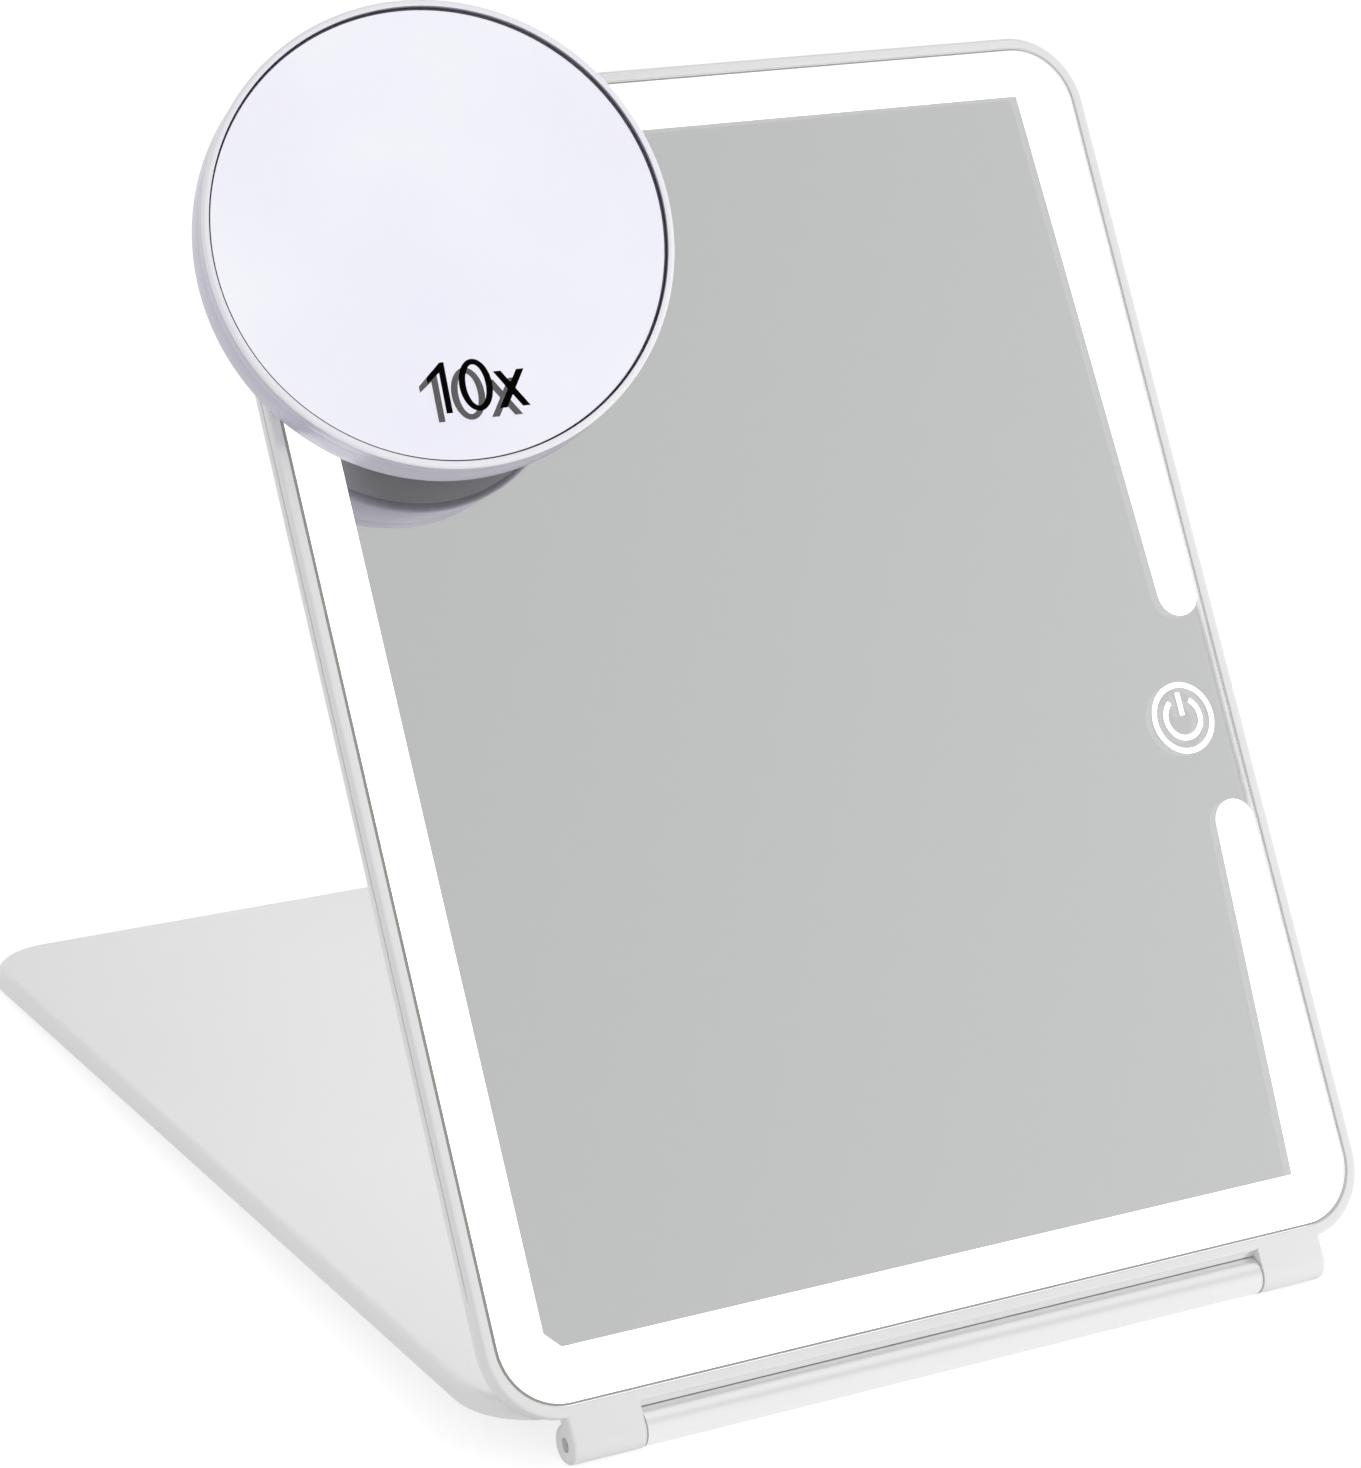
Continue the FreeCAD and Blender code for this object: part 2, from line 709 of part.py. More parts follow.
screws = []
for number, (x, y) in enumerate(boss_spots):
    shank = rod("board_shank_%d" % number, here, (x, y, pocket_floor), (0, 0, 1), 0, size.board_screw_radius,
                board_front - pocket_floor)
    head = rod("board_head_%d" % number, here, (x, y, board_front), (0, 0, 1), 0, size.board_screw_head,
               size.board_screw_head_height)
    screws.append(joined("MultiFuse", "board_screw_%d" % number, [shank, head]))
parts.append(joined("Compound", "board_screws", screws, on_panel))

# Charging socket: a round-ended metal tube with a contact tongue
socket = new_body("charging_socket", on_panel)
item = sketch(socket, "YZ_Plane", socket_left)
slot(item, 0)
pad(socket, item, size.socket_length)
item = sketch(socket, "YZ_Plane", socket_left + size.socket_base)
slot(item, -size.socket_wall)
cut(socket, item, size.socket_length + size.overrun)
item = sketch(socket, "YZ_Plane", socket_left + size.socket_base - size.socket_gap)
rectangle(item, key_y - size.socket_tongue_width / 2, socket_middle - size.socket_tongue_thickness / 2,
          key_y + size.socket_tongue_width / 2, socket_middle + size.socket_tongue_thickness / 2)
pad(socket, item, size.socket_tongue_length)
parts.append(socket)

# Battery cell on the pocket's floor, and its flat lead to the board
battery = new_body("battery_cell", on_panel)
item = sketch(battery, "XY_Plane", pocket_floor)
battery_right = size.battery_left + size.battery_width
rounded(item, size.battery_left, size.battery_low, battery_right, size.battery_low + size.battery_height,
        size.battery_corner)
pad(battery, item, size.battery_thickness)
parts.append(battery)
parts.append(block("battery_lead", on_panel, (battery_right, key_y - size.lead_width / 2, pocket_floor),
                   (board_left + size.board_boss_inset * 2 - battery_right, size.lead_width,
                    size.lead_thickness)))

# Hinge pins, pressed into the knuckles, and the washers between knuckle and barrel
pins, washers = [], []
for side in (-1, 1):
    inner_end = barrel_end - size.pin_reach
    outer_end = knuckle_end - size.pin_recess
    start = inner_end if side > 0 else -outer_end
    pins.append(rod("pin_%d" % len(pins), here, (start, 0, 0), (0, 1, 0), 90, size.pin_radius,
                    outer_end - inner_end))
    start = barrel_end if side > 0 else -knuckle_start
    disc = rod("disc_%d" % len(washers), here, (start, 0, 0), (0, 1, 0), 90, size.washer_radius,
               size.washer_thickness)
    hole = rod("hole_%d" % len(washers), here, (start - size.overrun, 0, 0), (0, 1, 0), 90,
               size.pin_radius + size.washer_fit, size.washer_thickness + size.overrun * 2)
    washers.append(joined("Cut", "washer_%d" % len(washers), (disc, hole)))
parts.append(joined("Compound", "hinge_pins", pins, on_panel))
parts.append(joined("Compound", "hinge_washers", washers, on_panel))

# Cover shell: a flat plate with round edges, bevelled along the hinge so that it nests under the panel
cover = new_body("cover_shell", on_cover)
item = sketch(cover, "XY_Plane", inner_face)
rounded(item, -half_panel, size.cover_near, half_panel, size.cover_far, size.cover_corner)
pad(cover, item, size.cover_thickness)
soften(cover, size.cover_edge_round, lambda edge: level(edge, outer_face))
item = sketch(cover, "YZ_Plane", -half_panel - size.overrun)
bevel_top = outer_face + size.overrun
bevel_start = size.cover_near - size.overrun
outline(item, [(bevel_start, bevel_line + (bevel_start - bevel_y) * tangent(cover_bevel)),
               (bevel_y + (bevel_top - bevel_line) / tangent(cover_bevel), bevel_top),
               (bevel_start, bevel_top)])
cut(cover, item, (half_panel + size.overrun) * 2)
item = sketch(cover, "XY_Plane", inner_face - size.overrun)
leaf_side = barrel_end + size.leaf_gap
rectangle(item, -leaf_side, size.cover_near - size.overrun, leaf_side, size.leaf_reach + size.leaf_gap)
cut(cover, item, size.leaf_thickness + size.overrun)
item = sketch(cover, "XY_Plane", inner_face - size.overrun)
lining_wide = half_panel - size.lining_side
rounded(item, -lining_wide, size.lining_near, lining_wide, size.lining_far, size.lining_corner)
cut(cover, item, size.lining_thickness + size.overrun)
pad_spots = [(x, y) for x in (-size.pad_side, size.pad_side) for y in (size.pad_near, size.pad_far)]
for spot in pad_spots:
    item = sketch(cover, "XY_Plane", inner_face - size.overrun)
    ring(item, *spot, size.pad_radius)
    cut(cover, item, size.pad_thickness - size.pad_proud + size.overrun)
screw_spots = [size.leaf_screw_pitch * (number - (LEAF_SCREWS - 1) / 2) for number in range(LEAF_SCREWS)]
for x in screw_spots:
    item = sketch(cover, "XY_Plane", inner_face - size.overrun)
    ring(item, x, size.leaf_screw_line, size.leaf_screw_shank)
    cut(cover, item, size.leaf_screw_length + size.overrun)
parts.append(cover)

# Lining set into the cover's inner face, and four rubber pads that the stand rests on
lining = new_body("cover_lining", on_cover)
item = sketch(lining, "XY_Plane", inner_face)
wide = lining_wide - size.lining_gap
rounded(item, -wide, size.lining_near + size.lining_gap, wide, size.lining_far - size.lining_gap,
        size.lining_corner - size.lining_gap)
pad(lining, item, size.lining_thickness)
parts.append(lining)
pads = [rod("pad_%d" % number, here, (x, y, inner_face - size.pad_proud), (0, 0, 1), 0, size.pad_radius,
            size.pad_thickness) for number, (x, y) in enumerate(pad_spots)]
parts.append(joined("Compound", "cover_pads", pads, on_cover))

# Hinge barrel: an extruded tube whose leaf passes under the panel's bevel and lies in the cover
barrel = new_body("hinge_barrel", on_cover)
item = sketch(barrel, "YZ_Plane", -barrel_end)
ring(item, 0, 0, size.barrel_radius)
pad(barrel, item, barrel_end * 2)
item = sketch(barrel, "YZ_Plane", -barrel_end)
leaf_face = inner_face + size.leaf_thickness
outline(item, [(0, bevel_line - bevel_y * tangent(cover_bevel)), (size.barrel_radius - size.cover_gap, 0),
               (size.leaf_neck, inner_face), (size.leaf_reach, inner_face), (size.leaf_reach, leaf_face),
               (bevel_y + (leaf_face - bevel_line) / tangent(cover_bevel), leaf_face)])
pad(barrel, item, barrel_end * 2)
item = sketch(barrel, "YZ_Plane", -barrel_end - size.overrun)
ring(item, 0, 0, size.barrel_bore)
cut(barrel, item, (barrel_end + size.overrun) * 2)
parts.append(barrel)

# Friction bushes in the ends of the barrel
bushes = []
for side in (-1, 1):
    start = barrel_end - size.bush_length if side > 0 else -barrel_end
    sleeve = rod("sleeve_%d" % len(bushes), here, (start, 0, 0), (0, 1, 0), 90,
                 size.barrel_bore - size.pin_fit, size.bush_length)
    hole = rod("bore_%d" % len(bushes), here, (start - size.overrun, 0, 0), (0, 1, 0), 90,
               size.pin_radius + size.bush_fit, size.bush_length + size.overrun * 2)
    bushes.append(joined("Cut", "bush_%d" % len(bushes), (sleeve, hole)))
parts.append(joined("Compound", "friction_bushes", bushes, on_cover))

# Leaf screws with slotted flat heads, flush with the cover's inner face, and their seats in the leaf
screws = []
for number, x in enumerate(screw_spots):
    item = sketch(barrel, "XY_Plane", inner_face - size.overrun)
    ring(item, x, size.leaf_screw_line, size.leaf_screw_head)
    cut(barrel, item, size.leaf_thickness + size.overrun * 2)
    foot = (x, size.leaf_screw_line, inner_face)
    head = rod("leaf_head_%d" % number, here, foot, (0, 0, 1), 0, size.leaf_screw_head - size.pin_fit,
               size.leaf_thickness)
    shank = rod("leaf_shank_%d" % number, here, foot, (0, 0, 1), 0, size.leaf_screw_shank - size.pin_fit,
                size.leaf_screw_length)
    whole = joined("MultiFuse", "leaf_whole_%d" % number, [head, shank])
    drive = block("leaf_slot_%d" % number, here,
                  (x - size.leaf_screw_head, size.leaf_screw_line - size.leaf_screw_slot / 2,
                   inner_face - size.overrun),
                  (size.leaf_screw_head * 2, size.leaf_screw_slot, size.leaf_screw_slot_depth + size.overrun))
    screws.append(joined("Cut", "leaf_screw_%d" % number, (whole, drive)))
parts.append(joined("Compound", "leaf_screws", screws, on_cover))

# Suction cup on the glass, with the stud's flange moulded in
cup = new_body("suction_cup", on_cup)
turned(cup, [(0, size.cup_hollow), (0, size.flange_low), (size.flange_radius, size.flange_low),
             (size.flange_radius, size.flange_high), (size.neck_radius, size.flange_high),
             (size.neck_radius, size.cup_height), (size.cup_crown, size.cup_height),
             (size.cup_radius, size.cup_edge), (size.cup_radius, 0), (size.cup_radius - size.cup_lip, 0)])
parts.append(cup)

stud = new_body("ball_stud", on_cup)
ball_foot = size.ball_height - root(size.ball_radius * size.ball_radius - size.neck_radius * size.neck_radius)
turned(stud, [(0, size.flange_low), (size.flange_radius, size.flange_low),
              (size.flange_radius, size.flange_high),
              (size.neck_radius, size.flange_high), (size.neck_radius, ball_foot),
              (size.ball_radius, size.ball_height, size.ball_radius, 1),
              (0, size.ball_height + size.ball_radius, size.ball_radius, 1)])
parts.append(stud)

# Magnifier housing: a round dish with a seat for the ball, in the frame of the ball's centre
housing = new_body("magnifier_housing", on_head)
seat = size.ball_radius + size.ball_fit
face = size.housing_back + size.housing_depth
rim = face - size.bezel_height
wall = size.housing_radius - size.housing_wall
floor = size.housing_back + size.housing_floor
dome = seat + size.socket_side
turned(housing, [
    (0, seat, seat, 1), (0, seat + size.socket_roof), (dome, seat + size.socket_roof), (dome, floor),
    (wall, floor),
    (wall, rim), (size.housing_radius, rim), (size.housing_radius, size.housing_back + size.housing_round),
    (size.housing_radius - size.housing_round, size.housing_back, size.housing_round, -1),
    (size.retainer_radius, size.housing_back), (size.retainer_radius, 0), (seat, 0)])
parts.append(housing)

# Ball retainer, screwed under the housing
retainer = new_body("ball_retainer", on_head)
mouth = root(seat * seat - size.retainer_depth * size.retainer_depth)
turned(retainer, [(seat, 0, seat, 1), (size.retainer_radius, 0), (size.retainer_radius, -size.retainer_depth),
                  (mouth, -size.retainer_depth)])
screws = []
for number in range(RETAINER_SCREWS):
    angle = math.radians(360 * number / RETAINER_SCREWS)
    x, y = (size.retainer_screw_ring * share(angle) for share in (math.cos, math.sin))
    for body, depth in ((housing, size.retainer_screw_bite), (retainer, 0)):
        item = sketch(body, "XY_Plane", -size.retainer_depth - size.overrun)
        ring(item, x, y, size.retainer_screw_radius)
        cut(body, item, size.retainer_depth + size.overrun + depth)
    shank = rod("retainer_shank_%d" % number, here, (x, y, -size.retainer_depth), (0, 0, 1), 0,
                size.retainer_screw_radius - size.pin_fit, size.retainer_depth + size.retainer_screw_bite)
    head = rod("retainer_head_%d" % number, here,
               (x, y, -size.retainer_depth - size.retainer_screw_head_height), (0, 0, 1), 0,
               size.retainer_screw_head, size.retainer_screw_head_height)
    screws.append(joined("MultiFuse", "retainer_screw_%d" % number, [shank, head]))
parts.append(retainer)
parts.append(joined("Compound", "retainer_screws", screws, on_head))

# Front bezel ring, and the dished lens with its silvering
bezel = new_body("magnifier_bezel", on_head)
bezel_inner = size.housing_radius - size.bezel_width
turned(bezel, [(bezel_inner, rim), (size.housing_radius, rim), (size.housing_radius, face - size.bezel_round),
               (size.housing_radius - size.bezel_round, face, size.bezel_round, 1), (bezel_inner, face)])
parts.append(bezel)


def dish(name, radius, edge, thickness):
    """A dished disc, edge and thickness giving its front rim and its depth."""
    body = new_body(name, on_head)
    middle = edge - size.lens_curve + root(size.lens_curve * size.lens_curve - radius * radius)
    turned(body, [(0, middle, size.lens_curve, -1), (0, middle - thickness),
                  (radius, edge - thickness, size.lens_curve, 1), (radius, edge)])
    return body


lens_radius = bezel_inner - size.lens_gap
lens_edge = face - size.lens_drop
parts.append(dish("magnifier_glass", lens_radius, lens_edge, size.lens_thickness))
film_radius = lens_radius - size.lens_film_inset
curve = size.lens_curve * size.lens_curve
film_edge = lens_edge - size.lens_thickness - size.lens_film_gap \
    + root(curve - lens_radius * lens_radius) - root(curve - film_radius * film_radius)
parts.append(dish("magnifier_silvering", film_radius, film_edge, size.film))

# The origin goes under the middle of the whole, on the table
doc.recompute()
whole = FreeCAD.BoundBox()
for item in parts:
    whole.add(item.Shape.optimalBoundingBox())
origin = FreeCAD.Placement(FreeCAD.Vector(-whole.Center.x, -whole.Center.y, -whole.ZMin), FreeCAD.Rotation())
for item in parts:
    item.Placement = origin.multiply(item.Placement)
doc.recompute()
for item in doc.Objects:
    if "Invalid" in item.State or "Error" in item.State:
        raise RuntimeError("%s did not build" % item.Label)
os.makedirs("parts", exist_ok=True)
for item in parts:
    if item.Shape.isNull() or not item.Shape.isValid():
        raise RuntimeError("%s has no sound shape" % item.Label)
    item.Shape.exportStep("parts/%s.step" % item.Label)
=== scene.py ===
import json
import math

import bmesh
import bpy
from mathutils import Matrix, Vector


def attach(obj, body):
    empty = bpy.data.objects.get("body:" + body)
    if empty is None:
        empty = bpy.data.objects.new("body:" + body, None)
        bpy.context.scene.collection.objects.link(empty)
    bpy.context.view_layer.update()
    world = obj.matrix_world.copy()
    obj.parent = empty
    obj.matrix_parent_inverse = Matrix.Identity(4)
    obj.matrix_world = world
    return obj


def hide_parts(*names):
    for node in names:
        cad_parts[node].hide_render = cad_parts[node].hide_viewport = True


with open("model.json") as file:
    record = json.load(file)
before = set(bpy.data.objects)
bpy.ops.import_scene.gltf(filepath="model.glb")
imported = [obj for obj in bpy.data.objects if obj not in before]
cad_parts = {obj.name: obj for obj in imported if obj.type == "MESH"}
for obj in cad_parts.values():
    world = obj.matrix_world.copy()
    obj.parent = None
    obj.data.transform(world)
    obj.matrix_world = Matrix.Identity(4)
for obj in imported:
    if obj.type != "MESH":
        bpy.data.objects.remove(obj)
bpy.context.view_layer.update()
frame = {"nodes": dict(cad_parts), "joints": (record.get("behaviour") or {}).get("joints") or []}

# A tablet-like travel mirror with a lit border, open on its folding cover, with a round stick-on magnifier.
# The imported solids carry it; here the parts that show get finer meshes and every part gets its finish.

bl_info = {
    "name": "Lit folding mirror",
    "version": (1, 0, 0),
    "blender": (4, 5, 0),
    "location": "3D View > Sidebar > Mirror",
    "description": "Dresses the packed folding mirror and its magnifier, and sets a studio stage round them",
    "category": "Object",
}

MM = 0.001
WELD = 1e-8
SMOOTH_BELOW = math.radians(32)
TURN_STEPS = 192
CORNER_STEPS = 14
ROUND_STEPS = 6
DISH_STEPS = 48
RING_STEPS = 64
JOINTS = {joint["name"]: joint for joint in frame["joints"]}
ACROSS = Vector((1, 0, 0))
UP = Vector(JOINTS["magnifier_turn"]["axis"])
OUT = Vector(JOINTS["magnifier_pull"]["axis"])
HINGE = Vector(JOINTS["cover_fold"]["pos_m"])
BALL = Vector(JOINTS["magnifier_turn"]["pos_m"])


def linear(code):
    """The linear colour of an sRGB hex code."""
    channels = [int(code[place:place + 2], 16) / 255 for place in (0, 2, 4)]
    return tuple(c / 12.92 if c <= 0.04045 else ((c + 0.055) / 1.055) ** 2.4 for c in channels)


def named(make, **rows):
    """Settings that a user may change, named for their keys: the default of each, and what it is."""
    return {key: make(key.replace("_", " ").capitalize(), *row) for key, row in rows.items()}


def length(name, millimetres, description):
    """A length, its default given in millimetres."""
    return bpy.props.FloatProperty(name=name, description=description, default=millimetres * MM,
                                   unit="LENGTH", precision=5)


def angle(name, degrees, description):
    """An angle, its default given in degrees."""
    return bpy.props.FloatProperty(name=name, description=description, default=math.radians(degrees),
                                   subtype="ANGLE")


def spot(name, metres, description):
    """A place."""
    return bpy.props.FloatVectorProperty(name=name, description=description, default=metres, size=3,
                                         subtype="TRANSLATION")


def amount(name, value, description, unit="NONE"):
    """A plain number."""
    return bpy.props.FloatProperty(name=name, description=description, default=value, unit=unit)


def tint(name, code, description):
    """A colour, its default given as an sRGB hex code."""
    return bpy.props.FloatVectorProperty(name=name, description=description, default=linear(code),
                                         size=3, min=0, max=1, subtype="COLOR")


class PanelSizes(bpy.types.PropertyGroup):
    """Sizes of the panel; heights run up the glass from the hinge axis, depths out of the glass."""

    __annotations__ = named(
        length,
        half_width=(84.75, "From the middle to the side of the panel"),
        low=(3.9, "Height of the panel's edge over the hinge axis"),
        high=(221.9, "Height of the panel's far edge"),
        corner=(12.8, "Radius of the panel's corners"),
        lip=(2.0, "Width of the frame's lip round the glass"),
        lip_round=(0.6, "Rounding of the lip's outer edge"),
        lip_break=(0.18, "Rounding of the lip's edge beside the glass"),
        glass_gap=(0.1, "Gap between the glass and the lip"),
        front=(3.3, "Depth of the glass's face and the lip"),
        glass_back=(1.5, "Depth of the back of the glass"),
        coat_gap=(0.03, "Left between the glass and its silvering"),
        ground_edge=(0.38, "Width of the glass's ground edge"),
        window_left=(9.2, "Width of the lit window along the left side"),
        window_right=(11.1, "Width of the lit window at the right corners"),
        window_top=(8.6, "Width of the lit window along the top"),
        window_bottom=(9.1, "Width of the lit window along the bottom"),
        silver_cut=(2.6, "Cut corner of the silvering at the low left"),
        film=(0.1, "Thickness of the silvering"),
        groove_depth=(0.5, "Depth of the groove along each side"),
        groove_height=(0.4, "Height of the groove along each side"),
        groove_inset=(8.0, "From the corner's end to the groove's end"),
        groove_fade=(3.0, "Over which the groove runs out at its ends"),
    )


class KeySizes(bpy.types.PropertyGroup):
    """Sizes of the touch key's lit symbol and of the windows' round ends beside it."""

    __annotations__ = named(
        length,
        height=(90.4, "Height of the symbol over the glass's low edge"),
        inset=(9.4, "From the glass's side to the middle of the symbol"),
        ring=(6.4, "Outer radius of the symbol's ring"),
        arc=(4.05, "Outer radius of the symbol's open arc"),
        line=(0.98, "Width of the symbol's lines"),
        bar_foot=(0.45, "Height of the bar's foot over the middle"),
        bar_top=(4.6, "Height of the bar's top over the middle"),
        window=(8.2, "Width of the lit windows beside the symbol"),
        window_below=(15.5, "From the symbol down to the lower window"),
        window_above=(17.9, "From the symbol up to the upper window"),
    )
    gap: angle("Gap", 34, "Half of the arc's opening")


class HingeSizes(bpy.types.PropertyGroup):
    """Sizes of the frame's two hinge knuckles, from the hinge axis."""

    __annotations__ = named(
        length,
        radius=(3.3, "Radius of the knuckles"),
        start=(60.35, "From the middle to a knuckle's inner end"),
        end=(73.35, "From the middle to a knuckle's outer end"),
        end_round=(0.7, "Rounding of a knuckle's outer end"),
        neck=(2.6, "Thickness of the neck that joins a knuckle to the lip"),
        skirt=(0.8, "How far the ramp under the lip reaches down behind the barrel"),
        skirt_top=(2.0, "Depth of the ramp where it leaves the lip"),
        skirt_foot=(1.18, "Depth of the ramp's foot"),
        skirt_back=(1.1, "Depth of the ramp's back"),
        bore=(1.21, "Radius of the bore for the pin"),
        mouth=(0.22, "Width of the break at the bore's mouth"),
    )


class MagnifierSizes(bpy.types.PropertyGroup):
    """Sizes of the magnifier; depths run out of its face from the centre of its ball."""

    __annotations__ = named(
        length,
        radius=(38.8, "Radius of the housing"),
        back=(0.45, "Depth of the housing's back"),
        back_round=(1.3, "Rounding of the housing's back edge"),
        face=(10.6, "Depth of the bezel's face"),
        bezel_height=(3.25, "Depth of the bezel ring"),
        bezel_width=(1.15, "Width of the bezel ring"),
        bezel_round=(0.63, "Rounding of the bezel's outer edge"),
        seam_round=(0.04, "Rounding where the bezel meets the housing"),
        wall=(3.4, "Thickness of the housing's wall"),
        floor=(1.8, "Thickness of the housing's floor"),
        seat=(3.65, "Radius of the seat for the ball"),
        seat_roof=(0.8, "Thickness over the seat"),
        seat_side=(1.6, "Thickness beside the seat"),
        retainer=(8.0, "Radius of the pad over the retainer"),
        lens_gap=(0.15, "Gap between the glass and the bezel"),
        lens_drop=(0.5, "From the bezel's face down to the glass's edge"),
        lens=(0.9, "Thickness of the dished glass"),
        lens_break=(0.16, "Width of the lacquered break along the glass's edge"),
        curve=(240.0, "Radius of the dished glass's curve"),
        coat=(0.04, "Thickness of the silvering"),
        coat_gap=(0.05, "Left between the glass and its silvering"),
        coat_inset=(0.2, "From the glass's edge to the edge of its silvering"),
        figure_height=(8.6, "Height of the printed figures"),
        figure_across=(0.95, "Middle of the printed figures"),
        figure_up=(-25.1, "Middle of the printed figures"),
        # The grey copy is the figures' painted reflection
        figure_shift_across=(-1.43, "How far the grey copy is moved"),
        figure_shift_up=(-1.15, "How far the grey copy is moved"),
        ink=(0.008, "Thickness of the printed ink"),
        ink_gap=(0.004, "Left between the ink and the glass"),
        cup_drop=(8.6, "From the ball's centre to the glass"),
        cup=(19.0, "Radius of the suction cup"),
        cup_edge=(0.6, "Thickness of the suction cup's edge"),
        cup_height=(3.6, "Height of the suction cup"),
        cup_crown=(7.5, "Radius of the suction cup's flat top"),
        cup_neck=(1.7, "Radius of the hole for the stud"),
        cup_hollow=(1.0, "Depth of the hollow under the cup"),
        cup_socket=(2.0, "Height of the foot of the hole for the stud"),
        cup_lip=(1.5, "Width of the cup's lip on the glass"),
    )
    turn: angle("Turn", 10.6, "How far it is turned on its ball")
    nod: angle("Nod", 1.3, "How far it leans on its ball")
    figure_lean: angle("Figure lean", -3.7, "How far the figures are turned")


class Colours(bpy.types.PropertyGroup):
    """Colours of the finishes."""

    __annotations__ = named(
        tint,
        shell=("EEEEEE", "Moulded frame, shell and cover"),
        shell_shade=("E9E9E9", "Cloudier places in the moulding"),
        glass=("FEFEFE", "Body of the clear glass"),
        ground=("ADAAA5", "Ground edge of the large glass"),
        # Also the colour of the painted glow given to the glass's ground edge and sawn side
        frost=("F0F1F1", "Side of the large glass, under its ground edge"),
        silver=("F8F7F7", "Silver coat of the large mirror"),
        silver_shade=("F7F6F6", "Thinner places in that coat"),
        dish=("FBFBFE", "Silver coat of the magnifier"),
        dish_shade=("ECEBFB", "Thinner places in that coat"),
        light=("FFFFFF", "Lit opal band"),
        barrel=("E3E4E6", "Anodised hinge barrel"),
        # The magnifier's side is drawn darker than its ring and back as painted shade
        disc=("C3BFD2", "Magnifier's side"),
        disc_shade=("BBB7CB", "Cloudier places in the side"),
        ring=("FBF9FE", "Magnifier's front ring and back"),
        ring_shade=("F5F3FB", "Cloudier places in them"),
        print_dark=("020202", "Printed figures"),
        # Painted reflection of the printed figures in the silver
        print_pale=("2F2F34", "Grey copy of the printed figures"),
        lacquer=("343149", "Edge lacquer of the magnifier's glass"),
        cup=("DCE0E6", "Suction cup"),
        lining=("CFCFCE", "Lining of the cover"),
        # Painted shade in the valleys of the lining's emboss
        lining_shade=("BFBFBE", "Valleys of the lining's emboss"),
    )


class Stage(bpy.types.PropertyGroup):
    """Camera, lamps and studio; the camera and the card are placed from the hinge axis, along the glass."""

    __annotations__ = named(
        length,
        lamp_side=(200, "Side of the square lamps"),
        card_width=(213, "Half the width of the grey card"),
        card_height=(265, "Half the height of the grey card"),
        floor=(4000, "Half the side of the floor's paper"),
    )
    eye: spot("Camera place", (-0.375785, 0.009351, 0.643592), "Where the camera stands")
    aim: bpy.props.FloatVectorProperty(
        name="Camera turn", description="How the camera is turned", size=3, subtype="EULER",
        default=(math.radians(14.58484), math.radians(-26.07018), math.radians(-14.95094)))
    lens: amount("Lens", 109.958, "Focal length on a 36 mm sensor", "CAMERA")
    sky_low: amount("Low sky", 1.05, "Soft light from the horizon")
    sky_high: amount("High sky", 0.5, "Soft light from overhead")
    key: amount("Key lamp", 4.2, "Power of the front lamp", "POWER")
    key_place: spot("Key place", (0.75, -1.0, 0.11), "Where the front lamp stands")
    key_aim: spot("Key aim", (0, 0, 0.06), "What the front lamp is turned to")
    key_spread: angle("Key spread", 180, "How widely the front lamp shines")
    fill: amount("Fill lamp", 0.06, "Power of the lamp behind", "POWER")
    fill_place: spot("Fill place", (0.1, 0.42, 0.24), "Where the lamp behind stands")
    fill_aim: spot("Fill aim", (-0.02, -0.07, 0.01), "What the lamp behind is turned to")
    fill_spread: angle("Fill spread", 31.513, "How widely the lamp behind shines")
    card: spot("Card place", (0.613, 0.279, 1.0293), "Middle of the grey card")
    card_low: amount("Card low", 0.66, "Grey card, at its low right")
    card_high: amount("Card high", 0.55, "Grey card, at its high left")
    paper: amount("Paper", 0.85, "Share of the light that the floor throws back on the mirror")
    paper_seen: amount("Paper seen", 0.4, "Share of the light that shows on the floor")
    paper_glow: amount("Paper glow", 0.76, "What makes the floor white where it is seen")


def settings(group):
    """A group of the scene's settings."""
    return getattr(bpy.context.scene, "mirror_" + group)


def frame_at(origin):
    """A frame that lies along the glass: across, up the glass, out of it."""
    place = Matrix((ACROSS, UP, OUT)).transposed().to_4x4()
    place.translation = origin
    return place


def head_frame():
    """The magnifier's frame, from the centre of its ball."""
    size = settings("magnifier")
    return frame_at(BALL) @ Matrix.Rotation(-size.turn, 4, "Y") @ Matrix.Rotation(size.nod, 4, "X")


def arc(centre, radius, start, stop, steps=ROUND_STEPS):
    """Points along an arc, from one angle in degrees to another."""
    turns = [math.radians(start + (stop - start) * step / steps) for step in range(steps + 1)]
    return [(centre[0] + radius * math.cos(turn), centre[1] + radius * math.sin(turn)) for turn in turns]


def soft_corners(corners):
    """A closed outline of corners (u, v, radius), each rounded by its radius."""
    points = []
    for index, (u, v, radius) in enumerate(corners):
        here = Vector((u, v))
        if radius == 0:
            points.append(here)
            continue
        before = (Vector(corners[index - 1][:2]) - here).normalized()
        after = (Vector(corners[(index + 1) % len(corners)][:2]) - here).normalized()
        half = before.angle(after) / 2
        centre = here + (before + after).normalized() * (radius / math.sin(half))
        start = here + before * (radius / math.tan(half)) - centre
        sweep = (math.pi - 2 * half) * (1 if before.cross(after) < 0 else -1)
        points += [centre + Matrix.Rotation(sweep * step / ROUND_STEPS, 2) @ start
                   for step in range(ROUND_STEPS + 1)]
    return points


